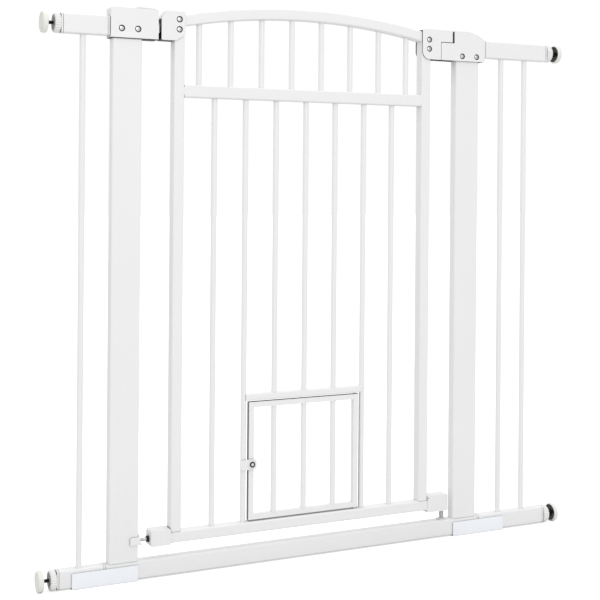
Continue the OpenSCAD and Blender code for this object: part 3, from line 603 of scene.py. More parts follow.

# %% [markdown]
# ## Painted shade in the latch cap
# The side of the latch cap that faces the bolt, with the slot that the bolt
# enters, lies in deep shade, so its faces are painted black: every face of the
# cap's outer side wall and of the hollow behind it.

# %% Faces of the latch cap painted black as shade
cap_low, cap_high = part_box("latch_cap_front")
stile_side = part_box("latch_stile")[0].x
for half in ("latch_cap_front", "latch_cap_back"):
    cap = bpy.data.objects["soft_" + half]
    cap.data.materials.append(shade_black)
    for face in cap.data.polygons:
        middle = face.center
        on_side = face.normal.x < -0.9 and middle.x < cap_low.x + 0.3 * MM
        inside = cap_low.x + 0.2 * MM < middle.x < stile_side - MM and abs(middle.y) < 10.7 * MM
        if on_side or (inside and middle.z < cap_high.z - 14 * MM):
            face.material_index = 1
    print(half, "cap faces painted dark:", sum(f.material_index == 1 for f in cap.data.polygons))

# %% [markdown]
# ## Painted shade in the upper hinge
# The gap round the hinge arm lies in shade, so it is painted black: the faces of
# the seat that the arm turns in, the underside of the arm, the cap's curved face
# beside the shelf and the cap's outer and lower edges get the painted shade finish.

# %% Faces of the hinge painted black as shade
axis_x = (pin_low.x + pin_high.x) / 2
arm_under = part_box("hinge_cap_front")[1].z - 21 * MM
seat_reach, clear_reach = 17.8 * MM, 20 * MM
stile_left, cap_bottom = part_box("hinge_stile")[0].x + MM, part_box("hinge_cap_front")[0].z
for half in ("front", "back"):
    housing, cap = bpy.data.objects["soft_hinge_housing_" + half], bpy.data.objects["soft_hinge_cap_" + half]
    for face in housing.data.polygons:
        away = math.hypot(face.center.x - axis_x, face.center.y)
        if away < seat_reach and face.center.z > arm_under - 1.6 * MM and abs(face.center.y) < 11.9 * MM:
            face.material_index = 1
    for face in cap.data.polygons:
        away = math.hypot(face.center.x - axis_x, face.center.y)
        inward = face.normal.x * (face.center.x - axis_x) + face.normal.y * face.center.y < -0.5 * away
        flat_under = face.normal.z < -0.9 and abs(face.center.z - arm_under) < 0.5 * MM
        outer_edge = face.normal.x < -0.3 and face.center.x < stile_left - 0.2 * MM and abs(face.normal.y) < 0.3
        lower_edge = face.normal.z < -0.3 and face.center.z < cap_bottom + 9 * MM and abs(face.normal.y) < 0.3
        if flat_under or outer_edge or lower_edge or (inward and away < clear_reach and face.center.z < arm_under + MM):
            face.material_index = 1
    print(half, "hinge faces painted dark:",
          sum(f.material_index == 1 for o in (housing, cap) for f in o.data.polygons))

# %% [markdown]
# ## Painted shade under the latch housing
# A thin black band under the latch housing paints the shade in the joint between
# the housing and the post, as a dark line along the housing's underside. It is a
# flat frame with a hole for the post, so it is built from two closed loops joined into a band.

# %% Painted shade band round the post
post_low, post_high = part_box("left_post")
house_low, house_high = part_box("latch_housing_front")
reach_y = -house_low.y - 0.9 * MM
gap_post, shade_band_top = 0.25 * MM, house_low.z + 0.05 * MM
inner = (post_low.x - gap_post, post_high.x + gap_post, post_high.y + gap_post)
outer = (house_low.x + 0.9 * MM, house_high.x - 0.9 * MM, reach_y)
shade_band = bmesh.new()
levels = []
for z in (shade_band_top - 1.1 * MM, shade_band_top):
    for left, right, deep in (outer, inner):
        levels.append([shade_band.verts.new(p) for p in
                       ((left, -deep, z), (right, -deep, z), (right, deep, z),
                        (left, deep, z))])
low_out, low_in, high_out, high_in = levels
for first, second in ((low_out, high_out), (high_out, high_in), (high_in, low_in),
                      (low_in, low_out)):
    for i in range(4):
        j = (i + 1) % 4
        shade_band.faces.new((first[i], first[j], second[j], second[i]))
bmesh.ops.recalc_face_normals(shade_band, faces=shade_band.faces)
shade_band_mesh = bpy.data.meshes.new("shade_band")
shade_band.to_mesh(shade_band_mesh)
shade_band.free()
hand_over(join("latch_housing_gasket", [(shade_band_mesh, shade_black)], 20),
          body_of["latch_housing_front"])

# %% [markdown]
# ## Screws
# The eight screws that hold the shells are pan-head screws with a cross recess,
# sunk in round wells. A black ring under each head paints the shade at the bottom of
# its well. One screw and one ring are modelled, and Geometry Nodes places them: a
# screw repeated by hand drifts, and a tree keeps all of them alike and turns each a
# little differently, as a screwdriver leaves them.

# %% One cross-recess screw and one ring of painted shade
screw_boxes = {node: solids(node) for node in ("housing_screws", "cap_screws")}
one_low, one_high = screw_boxes["cap_screws"][0]
head_radius = (one_high.x - one_low.x) / 2
shank = one_high.y - one_low.y
dome = [(0, 0), (0, 2 * MM), (shank - 2.2 * MM, 2 * MM), (shank - 2.1 * MM, head_radius * 0.96),
        (shank - 1.3 * MM, head_radius), (shank - 0.7 * MM, head_radius * 0.88),
        (shank - 0.25 * MM, head_radius * 0.55), (shank, head_radius * 0.2), (shank, 0)]
screw_body = bpy.data.objects.new("screw_body", lathe(dome, 40))
bpy.context.scene.collection.objects.link(screw_body)
cross = bmesh.new()
for turn in (0, 90):
    arm = Matrix.Translation((0, 0, shank)) @ Matrix.Rotation(math.radians(turn), 4, "Z")
    bmesh.ops.create_cube(cross, size=1,
                          matrix=arm @ Matrix.Diagonal((4.3 * MM, 1.0 * MM, 1.7 * MM, 1)))
cross_mesh = bpy.data.meshes.new("cross")
cross.to_mesh(cross_mesh)
cross.free()
cutter = bpy.data.objects.new("cross", cross_mesh)
bpy.context.scene.collection.objects.link(cutter)
cut = screw_body.modifiers.new("recess", "BOOLEAN")
cut.object = cutter
cut.operation = "DIFFERENCE"
cut.solver = "EXACT"
cut.use_self = True
seen = bpy.context.evaluated_depsgraph_get()
screw_mesh = bpy.data.meshes.new_from_object(screw_body.evaluated_get(seen))
for thing in (screw_body, cutter):
    bpy.data.objects.remove(thing)
well_shade_mesh = lathe([(0, 0), (0, 5.1 * MM), (1.0 * MM, 5.0 * MM), (1.1 * MM, 4.5 * MM),
                     (0.9 * MM, 3.95 * MM),
                     (0.3 * MM, 3.85 * MM), (0.3 * MM, 0)], 40)
print("screw faces:", len(screw_mesh.polygons), "head radius in mm:",
      round(head_radius / MM, 2))

# %% A tree that places one shape on points
on_points, start, end = start_tree("shape_on_points", [
    ("Shape", OBJECT, None), ("Turn", FLOAT, 0.6), ("Seed", INT, 3),
    ("Finish", MATERIAL, None)])
shape = add(on_points, "GeometryNodeObjectInfo")
dots = add(on_points, "GeometryNodeMeshToPoints")
place = add(on_points, "GeometryNodeInstanceOnPoints")
lean = add(on_points, "GeometryNodeInputNamedAttribute", data_type="FLOAT")
lean.inputs["Name"].default_value = "lean"
chance = add(on_points, "FunctionNodeRandomValue", data_type="FLOAT")
spin = add(on_points, "ShaderNodeCombineXYZ")
spin_only = add(on_points, "GeometryNodeRotateInstances")
lean_to = add(on_points, "ShaderNodeCombineXYZ")
on_points.links.new(start.outputs["Geometry"], dots.inputs["Mesh"])
on_points.links.new(start.outputs["Shape"], shape.inputs["Object"])
on_points.links.new(dots.outputs["Points"], place.inputs["Points"])
on_points.links.new(shape.outputs["Geometry"], place.inputs["Instance"])
on_points.links.new(lean.outputs["Attribute"], lean_to.inputs["Y"])
on_points.links.new(lean_to.outputs["Vector"], place.inputs["Rotation"])
on_points.links.new(start.outputs["Turn"], chance.inputs[3])
on_points.links.new(start.outputs["Seed"], chance.inputs["Seed"])
on_points.links.new(chance.outputs[1], spin.inputs["Z"])
on_points.links.new(place.outputs["Instances"], spin_only.inputs["Instances"])
on_points.links.new(spin.outputs["Vector"], spin_only.inputs["Rotation"])
real = add(on_points, "GeometryNodeRealizeInstances")
paint = add(on_points, "GeometryNodeSetMaterial")
on_points.links.new(spin_only.outputs["Instances"], real.inputs["Geometry"])
on_points.links.new(real.outputs["Geometry"], paint.inputs["Geometry"])
on_points.links.new(start.outputs["Finish"], paint.inputs["Material"])
on_points.links.new(paint.outputs["Geometry"], end.inputs["Geometry"])


def on_each(points, mesh, material, turn=0.6, leans=None):
    """One plain mesh with a copy of mesh on every point, leaning about Y."""
    dots = bpy.data.meshes.new("dots")
    dots.from_pydata(points, [], [])
    held = dots.attributes.new("lean", "FLOAT", "POINT")
    held.data.foreach_set("value", leans or [0.0] * len(points))
    shape_holder = bpy.data.objects.new("shape", mesh)
    bpy.context.scene.collection.objects.link(shape_holder)
    result = grown(on_points, {"Shape": shape_holder, "Turn": turn, "Finish": material}, dots)
    bpy.data.objects.remove(shape_holder)
    return result


# %% All eight screws with their rings of painted shade
lay_back = Matrix.Rotation(math.radians(90), 4, "X")
for node, boxes in screw_boxes.items():
    middles = [(low + high) / 2 for low, high in boxes]
    backs = [lay_back.inverted() @ Vector((m.x, high.y, m.z)) for m,
             (low, high) in zip(middles, boxes)]
    floors = [lay_back.inverted() @ Vector((m.x, low.y + 1.3 * MM, m.z)) for m,
              (low, high) in zip(middles, boxes)]
    heads = moved(on_each(backs, screw_mesh, zinc_steel, 1.2), lay_back)
    well_shades = moved(on_each(floors, well_shade_mesh, shade_black, 0), lay_back)
    hand_over(join(node + "_finished", [(heads, zinc_steel), (well_shades, shade_black)], 30),
              body_of[node], node)

# %% [markdown]
# ## Weld beads
# Every bar is welded to its rail all round, and the powder coat softens the bead
# to a small fillet. A bead is a closed wire round the bar with a slightly uneven
# thickness. Geometry Nodes makes the one bead and sets it on every bar end; the
# beads under the arch lean with it.

# %% One weld bead
bar_low, bar_high = solids("long_bars")[0]
bar_radius = (bar_high.x - bar_low.x) / 2
bead_tree, start, end = start_tree("weld_bead", [
    ("Bar radius", FLOAT, bar_radius), ("Bead radius", FLOAT, 0.9 * MM),
    ("Unevenness", FLOAT, 0.25 * MM)])
ring = add(bead_tree, "GeometryNodeCurvePrimitiveCircle")
ring.inputs["Resolution"].default_value = 28
wire = add(bead_tree, "GeometryNodeCurvePrimitiveCircle")
wire.inputs["Resolution"].default_value = 7
sweep = add(bead_tree, "GeometryNodeCurveToMesh")
ripple = add(bead_tree, "ShaderNodeTexNoise")
ripple.inputs["Scale"].default_value = 450
shift = add(bead_tree, "GeometryNodeSetPosition")
amount = add(bead_tree, "ShaderNodeVectorMath", operation="SCALE")
centred = add(bead_tree, "ShaderNodeVectorMath", operation="SUBTRACT")
centred.inputs[1].default_value = (0.5, 0.5, 0.5)
bead_tree.links.new(start.outputs["Bar radius"], ring.inputs["Radius"])
bead_tree.links.new(start.outputs["Bead radius"], wire.inputs["Radius"])
bead_tree.links.new(ring.outputs["Curve"], sweep.inputs["Curve"])
bead_tree.links.new(wire.outputs["Curve"], sweep.inputs["Profile Curve"])
bead_tree.links.new(sweep.outputs["Mesh"], shift.inputs["Geometry"])
bead_tree.links.new(ripple.outputs["Color"], centred.inputs[0])
bead_tree.links.new(centred.outputs["Vector"], amount.inputs[0])
bead_tree.links.new(start.outputs["Unevenness"], amount.inputs["Scale"])
bead_tree.links.new(amount.outputs["Vector"], shift.inputs["Offset"])
finish_tree(bead_tree, shift.outputs["Geometry"], end, powder_coat)
bead_mesh = grown(bead_tree, {})
print("bead faces:", len(bead_mesh.polygons))

# %% Beads on every bar end
arch_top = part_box("arch_rail")[1].z
arch_under = 1.117
gate_middle = (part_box("mid_rail")[0].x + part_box("mid_rail")[1].x) / 2
weld_places = {"frame": [], "door": [], "cat_flap": []}
for node in ("left_panel_bar", "right_panel_bars", "upper_bars", "long_bars", "short_bars",
             "flap_bars"):
    for low, high in solids(node):
        x = (low.x + high.x) / 2
        top, slope = high.z, 0.0
        if node == "upper_bars":
            aside = x - gate_middle
            top = arch_top - 1.135 + math.sqrt(arch_under**2 - aside**2)
            slope = math.asin(aside / arch_under)
        weld_places[body_of[node]] += [((x, 0, low.z), 0.0), ((x, 0, top), slope)]
for body, welds in weld_places.items():
    beads = on_each([spot for spot, _ in welds], bead_mesh, powder_coat, 6.0,
                    [slope for _, slope in welds])
    hand_over(join("weld_beads_" + body, [(beads, powder_coat)], 60), body)

# %% [markdown]
# ## Weld seams between rails and stiles
# A square tube that butts against another leaves a groove beside its round
# corners, and the welder fills it. Each seam is a short rounded wire of weld
# metal, set by the same tree on the four corners of the mid rail's ends.

# %% Seams at the ends of the mid rail
low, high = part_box("mid_rail")
seam_length = high.z - low.z - 5 * MM
seam = lathe([(0, 0), (0.3 * MM, 1.2 * MM), (1.2 * MM, 1.9 * MM),
              (seam_length - 1.2 * MM, 1.9 * MM),
              (seam_length - 0.3 * MM, 1.2 * MM), (seam_length, 0)], 14)
seam_spots = [(x, y, low.z + 2.5 * MM) for x in (low.x,
                                                 high.x) for y in (low.y + 1.9 * MM, high.y - 1.9 * MM)]
seams = on_each(seam_spots, seam, powder_coat, 6.0)
hand_over(join("mid_rail_seams", [(seams, powder_coat)], 50), body_of["mid_rail"])

# %% [markdown]
# ## Threads and springs
# A thread is a ridge that winds round a core, and a spring is the same curve
# with a round wire and nothing inside. One tree makes both from a spiral: pitch,
# radius, wire and number of turns are its inputs. The spindles carry a 6 mm
# thread with 1 mm pitch, so one turn of the hand nut moves the cup by 1 mm.

# %% The winding tree
winding, start, end = start_tree("winding", [
    ("Turns", FLOAT, 10.0), ("Radius", FLOAT, 2.5 * MM), ("Height", FLOAT, 0.01),
    ("Wire", FLOAT, 0.45 * MM),
    ("Wire sides", INT, 4), ("Steps per turn", INT, 14), ("Finish", MATERIAL, None)])
spiral = add(winding, "GeometryNodeCurveSpiral")
steady = add(winding, "GeometryNodeSetCurveNormal")
try:
    steady.mode = "Z_UP"
except (AttributeError, TypeError):
    steady.inputs["Mode"].default_value = "Z Up"
wire = add(winding, "GeometryNodeCurvePrimitiveCircle")
sweep = add(winding, "GeometryNodeCurveToMesh")
sweep.inputs["Fill Caps"].default_value = True
real = add(winding, "GeometryNodeRealizeInstances")
paint = add(winding, "GeometryNodeSetMaterial")
winding.links.new(start.outputs["Steps per turn"], spiral.inputs["Resolution"])
winding.links.new(start.outputs["Turns"], spiral.inputs["Rotations"])
winding.links.new(start.outputs["Radius"], spiral.inputs["Start Radius"])
winding.links.new(start.outputs["Radius"], spiral.inputs["End Radius"])
winding.links.new(start.outputs["Height"], spiral.inputs["Height"])
winding.links.new(start.outputs["Wire"], wire.inputs["Radius"])
winding.links.new(start.outputs["Wire sides"], wire.inputs["Resolution"])
winding.links.new(spiral.outputs["Curve"], steady.inputs["Curve"])
winding.links.new(steady.outputs["Curve"], sweep.inputs["Curve"])
winding.links.new(wire.outputs["Curve"], sweep.inputs["Profile Curve"])
winding.links.new(sweep.outputs["Mesh"], real.inputs["Geometry"])
winding.links.new(real.outputs["Geometry"], paint.inputs["Geometry"])
winding.links.new(start.outputs["Finish"], paint.inputs["Material"])
winding.links.new(paint.outputs["Geometry"], end.inputs["Geometry"])


def thread(length, radius, material, pitch=1 * MM):
    """A thread along Z from 0 to length, as a ridge on a core with chamfered ends."""
    turns = length / pitch - 1.5
    ridge = grown(winding, {"Turns": turns, "Radius": radius - 0.5 * MM,
                            "Height": turns * pitch,
                            "Wire": 0.46 * MM, "Wire sides": 4, "Steps per turn": 14,
                            "Finish": material})
    core = lathe([(0, 0), (0, radius - 0.9 * MM), (0.7 * MM, radius - 0.5 * MM),
                  (length - 0.7 * MM, radius - 0.5 * MM), (length, radius - 0.9 * MM),
                  (length, 0)], 24)
    return [(moved(ridge, Matrix.Translation((0, 0, 0.75 * pitch))), material),
            (core, material)]


# %% The closing spring round the lower hinge pin
low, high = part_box("closer_spring")
coil_radius = (high.x - low.x) / 2 - 0.5 * MM
coil = grown(winding, {"Turns": 9.5, "Radius": coil_radius, "Height": high.z - low.z - 1.1 * MM,
                       "Wire": 0.5 * MM, "Wire sides": 8, "Steps per turn": 24,
                       "Finish": zinc_steel})
coil_place = Matrix.Translation(((low.x + high.x) / 2, 0, low.z + 0.55 * MM))
hand_over(join("closing_spring_coil", [(moved(coil, coil_place), zinc_steel)], 60),
          body_of["closer_spring"],
          "closer_spring")

# %% [markdown]
# ## Spindles, hand nuts and wall cups
# At each of the four rail ends a black threaded spindle carries a shiny steel
# plate, and the plate backs a warm white rubber cup. The hand nut runs on the
# thread: a ribbed plastic wheel with a grey insert. Each is turned on the lathe
# along Z and then laid along the gate, outwards at its own end.

# %% Where each spindle ends
rubber_low, rubber_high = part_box("cup_bottom_right")
cup_radius = (rubber_high.z - rubber_low.z) / 2
cup_thick = rubber_high.x - rubber_low.x
wheel_low, wheel_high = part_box("nut_bottom_right")
wheel_thick = wheel_high.x - wheel_low.x
wheel_radius = (wheel_high.z - wheel_low.z) / 2
print("cup", round(cup_radius / MM, 1), "x", round(cup_thick / MM, 1), "mm, wheel",
      round(wheel_radius / MM, 1))

# %% The ribs of a hand nut: the rim swells and sinks round the wheel
rib_tree, start, end = start_tree("rim_ribs", [
    ("Ribs", FLOAT, 24.0), ("Rib height", FLOAT, 1.3 * MM),
    ("Rim from", FLOAT, wheel_radius - 4.5 * MM),
    ("Finish", MATERIAL, None)])
spot = add(rib_tree, "GeometryNodeInputPosition")
parts = add(rib_tree, "ShaderNodeSeparateXYZ")
angle = add(rib_tree, "ShaderNodeMath", operation="ARCTAN2")
many = add(rib_tree, "ShaderNodeMath", operation="MULTIPLY")
wave = add(rib_tree, "ShaderNodeMath", operation="COSINE")
lift_wave = add(rib_tree, "ShaderNodeMath", operation="SUBTRACT")
lift_wave.inputs[1].default_value = 1.0
height = add(rib_tree, "ShaderNodeMath", operation="MULTIPLY")
flat = add(rib_tree, "ShaderNodeCombineXYZ")
far = add(rib_tree, "ShaderNodeVectorMath", operation="LENGTH")
on_rim = add(rib_tree, "ShaderNodeMath", operation="GREATER_THAN")
outward = add(rib_tree, "ShaderNodeVectorMath", operation="NORMALIZE")
push = add(rib_tree, "ShaderNodeVectorMath", operation="SCALE")
shift = add(rib_tree, "GeometryNodeSetPosition")
real = add(rib_tree, "GeometryNodeRealizeInstances")
paint = add(rib_tree, "GeometryNodeSetMaterial")
rib_tree.links.new(spot.outputs["Position"], parts.inputs["Vector"])
rib_tree.links.new(parts.outputs["Y"], angle.inputs[0])
rib_tree.links.new(parts.outputs["X"], angle.inputs[1])
rib_tree.links.new(angle.outputs["Value"], many.inputs[0])
rib_tree.links.new(start.outputs["Ribs"], many.inputs[1])
rib_tree.links.new(many.outputs["Value"], wave.inputs[0])
rib_tree.links.new(wave.outputs["Value"], lift_wave.inputs[0])
rib_tree.links.new(lift_wave.outputs["Value"], height.inputs[0])
rib_tree.links.new(start.outputs["Rib height"], height.inputs[1])
rib_tree.links.new(parts.outputs["X"], flat.inputs["X"])
rib_tree.links.new(parts.outputs["Y"], flat.inputs["Y"])
rib_tree.links.new(flat.outputs["Vector"], far.inputs[0])
rib_tree.links.new(far.outputs["Value"], on_rim.inputs[0])
rib_tree.links.new(start.outputs["Rim from"], on_rim.inputs[1])
rib_tree.links.new(flat.outputs["Vector"], outward.inputs[0])
rib_tree.links.new(outward.outputs["Vector"], push.inputs[0])
rib_tree.links.new(height.outputs["Value"], push.inputs["Scale"])
rib_tree.links.new(start.outputs["Geometry"], shift.inputs["Geometry"])
rib_tree.links.new(on_rim.outputs["Value"], shift.inputs["Selection"])
rib_tree.links.new(push.outputs["Vector"], shift.inputs["Offset"])
rib_tree.links.new(shift.outputs["Geometry"], real.inputs["Geometry"])
rib_tree.links.new(real.outputs["Geometry"], paint.inputs["Geometry"])
rib_tree.links.new(start.outputs["Finish"], paint.inputs["Material"])
rib_tree.links.new(paint.outputs["Geometry"], end.inputs["Geometry"])

# %% The wheel, its grey insert, the cup, the plate and the rod, along Z from the nut's inner face
r, t = wheel_radius, wheel_thick
wheel_profile = [(0, 3.1 * MM), (0, r - 2.4 * MM), (0.05 * t, r - 1.2 * MM),
                 (0.14 * t, r - 0.4 * MM),
                 (0.26 * t, r - 0.1 * MM), (0.62 * t, r), (0.82 * t, r - 0.4 * MM),
                 (0.94 * t, r - 1.2 * MM),
                 (t, r - 2.4 * MM), (t, r - 3.6 * MM), (t - 1.0 * MM, r - 4.0 * MM),
                 (t - 1.2 * MM, 3.1 * MM)]
wheel = lathe([(0, 0), *wheel_profile, (t - 1.2 * MM, 0)], 144)
ribbed = grown(rib_tree, {"Rib height": 0.65 * MM, "Finish": nut_plastic}, wheel)
insert = lathe([(t - 1.4 * MM, 0), (t - 1.4 * MM, r - 4.4 * MM), (t - 1.0 * MM, r - 4.5 * MM),
                (t - 0.9 * MM, 5.6 * MM), (t - 0.1 * MM, 5.2 * MM), (t, 3.4 * MM), (t, 0)], 60)
c, h = cup_radius, cup_thick
rings = [(h - 0.5 * MM + 0.35 * MM * math.cos(i * math.pi),
          c - (2.4 + 1.25 * i) * MM) for i in range(9)]
cup_mesh = lathe([(1.7 * MM, 0), (1.7 * MM, c - 2.35 * MM), (0.05 * MM, c - 2.2 * MM),
                  (0, c - 1.6 * MM), (0.6 * MM, c - 0.5 * MM),
                  (1.6 * MM, c), (h - 2.4 * MM, c), (h - 1.0 * MM, c - 0.5 * MM),
                  (h - 0.3 * MM, c - 1.5 * MM),
                  *rings, (h - 0.6 * MM, 0)], 72)
plate_radius = c - 2.5 * MM
plate_mesh = lathe([(-0.9 * MM, 0), (-0.9 * MM, 5.2 * MM), (-0.1 * MM, 6.6 * MM),
                    (0.5 * MM, 7.6 * MM),
                    (0.4 * MM, plate_radius - 2 * MM), (-0.1 * MM, plate_radius - 0.8 * MM),
                    (0.4 * MM, plate_radius), (1.6 * MM, plate_radius), (1.6 * MM, 0)], 72)
print("wheel faces:", len(ribbed.polygons), "cup faces:", len(cup_mesh.polygons))

# %% Each of the four ends
for end_name in ("top_left", "bottom_left", "top_right", "bottom_right"):
    out = 1 if end_name.endswith("right") else -1
    low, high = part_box("nut_" + end_name)
    middle = (low.z + high.z) / 2
    lay = Matrix.Rotation(math.radians(90 * out), 4, "Y")

    def laid(mesh, x):
        """mesh laid along the gate from x, pointing outwards at this end."""
        return moved(mesh, Matrix.Translation((x, 0, middle)) @ lay)

    inner = low.x if out > 0 else high.x
    nut = join("hand_nut_" + end_name, [(laid(ribbed, inner), nut_plastic),
                                        (laid(insert, inner), insert_grey)], 28)
    hand_over(nut, body_of["nut_" + end_name], "nut_" + end_name)
    low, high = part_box("cup_" + end_name)
    inner = low.x if out > 0 else high.x
    cup = join("wall_cup_" + end_name, [(laid(cup_mesh, inner), cup_rubber)], 50)
    hand_over(cup, body_of["cup_" + end_name], "cup_" + end_name)
    # The plate's near-black finish paints the dark reflection of its shiny steel.
    plate = join("backing_plate_" + end_name, [(laid(plate_mesh, inner), plate_dark_reflection)], 30)
    hand_over(plate, body_of["spindle_" + end_name])
    low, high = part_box("spindle_" + end_name)
    inner = low.x if out > 0 else high.x
    rod = join("threaded_rod_" + end_name,
               [(laid(mesh, inner), finish_of) for mesh,
                finish_of in thread(high.x - low.x, 3 * MM, black_steel)], 30)
    hand_over(rod, body_of["spindle_" + end_name], "spindle_" + end_name)

# %% [markdown]
# ## Grub screws of the lower hinge cap
# A small black grub screw fixes the lower hinge cap to the door's bottom rail,
# and a second one sits under the rail. Each has a hexagon socket.

# %% Two grub screws
socket_ring = lathe([(0, 0), (0, 1.3 * MM), (1.0 * MM, 1.3 * MM), (1.3 * MM, 1.0 * MM),
                     (1.3 * MM, 0.7 * MM),
                     (0.6 * MM, 0.6 * MM), (0.5 * MM, 0)], 24)
low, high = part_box("lower_hinge_cap")
rail_low, rail_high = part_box("bottom_rail")
cap_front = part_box("lower_hinge_cap")[0].y
grub_spots = [lay_back.inverted() @ Vector((rail_high.x + 2.6 * MM, cap_front + 1.1 * MM,
                                            high.z - 4 * MM))]
grub = moved(on_each(grub_spots, socket_ring, black_steel, 1.0), lay_back)
under = moved(socket_ring, Matrix.Translation((rail_high.x - 17 * MM, -6 * MM,
                                               rail_low.z + 0.5 * MM))
              @ Matrix.Rotation(math.pi, 4, "X"))
hand_over(join("grub_screws", [(grub, black_steel), (under, black_steel)], 30),
          body_of["lower_hinge_cap"])

# %% [markdown]
# ## The foot pin and its lock nut
# The door's foot pin is a threaded stud that a hexagon lock nut fixes. Its tip
# rests in the catch on the post, and turning it sets how tightly the door shuts.

# %% Foot pin
low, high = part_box("foot_pin")
pin_middle = (low.z + high.z) / 2
hexagon = bmesh.new()
hex_side = (high.y - low.y) / 2 if high.y - low.y > high.z - low.z else (high.z - low.z) / 2
bmesh.ops.create_cone(hexagon, cap_ends=True, segments=6, radius1=hex_side,
                      radius2=hex_side, depth=4 * MM)
bmesh.ops.bevel(hexagon, geom=hexagon.edges[:], offset=0.35 * MM, segments=1, affect="EDGES")
hex_mesh = bpy.data.meshes.new("hexagon")
hexagon.to_mesh(hex_mesh)
hexagon.free()
lay = Matrix.Rotation(math.radians(90), 4, "Y")
stud = [(moved(mesh, Matrix.Translation((low.x, 0, pin_middle)) @ lay), material)
        for mesh, material in thread(high.x - low.x, 3 * MM, zinc_steel)]
foot_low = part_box("foot_cap")[0].x
stud.append((moved(hex_mesh, Matrix.Translation((foot_low - 2.1 * MM, 0,
                                                 pin_middle)) @ lay), black_steel))
hand_over(join("foot_pin_and_nut", stud, 30), body_of["foot_pin"], "foot_pin")

# %% [markdown]
# ## The painted shade round the cat flap and its latch screw
# A thin dark grey strip runs round the outside of the flap's frame and paints
# the shade in the gap round the flap. The turn latch is held by a screw with a bright
# dome in its middle, and a wide black ring round the dome paints the shade of its recess.

# %% The painted shade strip round the flap
low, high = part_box("flap_frame")
strip = bmesh.new()
thick, half, hinge_lip = 0.6 * MM, 2.4 * MM, 0.8 * MM
loops = []
for grow, y in ((-0.2 * MM, -half - 0.3 * MM), (thick * 0.7, -half), (thick, 0),
                (thick * 0.7, half),
                (-0.2 * MM, half + 0.3 * MM)):
    x0, x1, z0, z1 = low.x - grow, high.x + grow + max(0,
                                                       min(grow,
                                                           hinge_lip)) * 1.4, low.z - grow, high.z + grow
    loops.append([strip.verts.new(p) for p in ((x0, y, z0), (x1, y, z0), (x1, y, z1),
                                               (x0, y, z1))])
loops.append(loops[0])
for first, second in zip(loops, loops[1:]):
    for i in range(4):
        j = (i + 1) % 4
        strip.faces.new((first[i], first[j], second[j], second[i]))
bmesh.ops.recalc_face_normals(strip, faces=strip.faces)
strip_mesh = bpy.data.meshes.new("strip")
strip.to_mesh(strip_mesh)
strip.free()
hand_over(join("flap_rubber_strip", [(strip_mesh, gap_shade_grey)], 20), body_of["flap_frame"])

# %% The turn latch's screw
low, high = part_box("flap_latch_screw")
middle = (low + high) / 2
length = high.y - low.y
# The black ring round the dome paints the shade of the screw's recess.
ring_mesh = lathe([(length - 2.4 * MM, 0), (length - 2.4 * MM, 4.4 * MM),
                   (length - 1.2 * MM, 4.7 * MM),
                   (length - 0.3 * MM, 4.3 * MM), (length - 0.1 * MM, 3.6 * MM),
                   (length - 0.5 * MM, 3.0 * MM),
                   (length - 1.2 * MM, 2.8 * MM), (length - 1.2 * MM, 0)], 48)
dome_mesh = lathe([(0, 0), (0, 2 * MM), (length - 1.5 * MM, 2 * MM),
                   (length - 1.4 * MM, 2.75 * MM),
                   (length - 0.7 * MM, 2.5 * MM), (length - 0.2 * MM, 1.4 * MM),
                   (length, 0)], 40)
back_nut = bmesh.new()
bmesh.ops.create_cone(back_nut, cap_ends=True, segments=6, radius1=3.7 * MM,
                      radius2=3.7 * MM, depth=2.4 * MM,
                      matrix=Matrix.Translation((0, 0, 1.9 * MM)))
bmesh.ops.bevel(back_nut, geom=back_nut.edges[:], offset=0.25 * MM, segments=1, affect="EDGES")
back_mesh = bpy.data.meshes.new("back_nut")
back_nut.to_mesh(back_mesh)
back_nut.free()
stand = Matrix.Translation((middle.x, high.y, middle.z)) @ lay_back
hand_over(join("latch_screw_finished", [(moved(dome_mesh, stand), zinc_steel),
                                        (moved(ring_mesh, stand), shade_black),
                                        (moved(back_mesh, stand), zinc_steel)], 32),
          body_of["flap_latch_screw"], "flap_latch_screw")

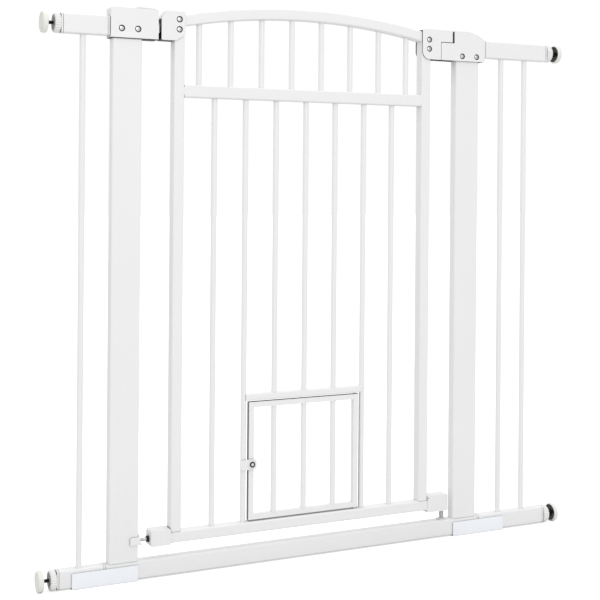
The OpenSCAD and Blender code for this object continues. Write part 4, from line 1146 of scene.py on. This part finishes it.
# %% [markdown]
# ## The slide button
# The thumb pushes the button sideways, so its sloping top has small cross ribs.
# The ribs repeat, so Geometry Nodes sets them on a row of points down the slope.

# %% Button with grip ribs
softened("slide_button", 0.5 * MM)
low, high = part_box("slide_button")
rib = lathe([(0, 0), (0, 0.45 * MM), (9.2 * MM, 0.45 * MM), (9.2 * MM, 0)], 10)
across = moved(rib, Matrix.Rotation(math.radians(-90), 4,
                                    "X") @ Matrix.Translation((0, 0, -4.6 * MM)))
slope_from, slope_to = Vector((low.x + 4 * MM, 0,
                               high.z - 0.18 * MM)), Vector((high.x - 3 * MM, 0, high.z - 1.5 * MM))
rows = 8
row_points = [slope_from.lerp(slope_to, i / (rows - 1)) for i in range(rows)]
ribs = on_each(row_points, across, by_slot[slot_of["slide_button"]], 0)
hand_over(join("button_grip_ribs", [(ribs, by_slot[slot_of["slide_button"]])], 40),
          body_of["slide_button"])

# %% The floor
floor_mesh = bpy.data.meshes.new("studio_floor")
floor_mesh.from_pydata([(-14, -10, 0), (14, -10, 0), (14, 18, 0), (-14, 18, 0)], [],
                       [(0, 1, 2, 3)])
studio_floor = bpy.data.objects.new("studio_floor", floor_mesh)
bpy.context.scene.collection.objects.link(studio_floor)
floor_paint = finish("pale_floor", (0.74, 0.74, 0.74), (0.72, 0.72, 0.72), 40, (0.7, 0.85),
                     0.1, 0.0002, dusty=0.0,
                     shade_range=(-1.0, -0.5))
floor_shader = floor_paint.node_tree.nodes["Principled BSDF"]
floor_shader.inputs["Emission Color"].default_value = (1, 1, 1, 1)
looked_at = floor_paint.node_tree.nodes.new("ShaderNodeLightPath")
glow = floor_paint.node_tree.nodes.new("ShaderNodeMath")
glow.operation = "MULTIPLY"
glow.inputs[1].default_value = 0.6
floor_paint.node_tree.links.new(looked_at.outputs["Is Camera Ray"], glow.inputs[0])
floor_paint.node_tree.links.new(glow.outputs["Value"], floor_shader.inputs["Emission Strength"])
floor_mesh.materials.append(floor_paint)
studio_floor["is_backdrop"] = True

# %% The size of the finished scene
low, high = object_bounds()
print("visual box in mm:", [round(v / MM, 1) for v in (*low, *high)])
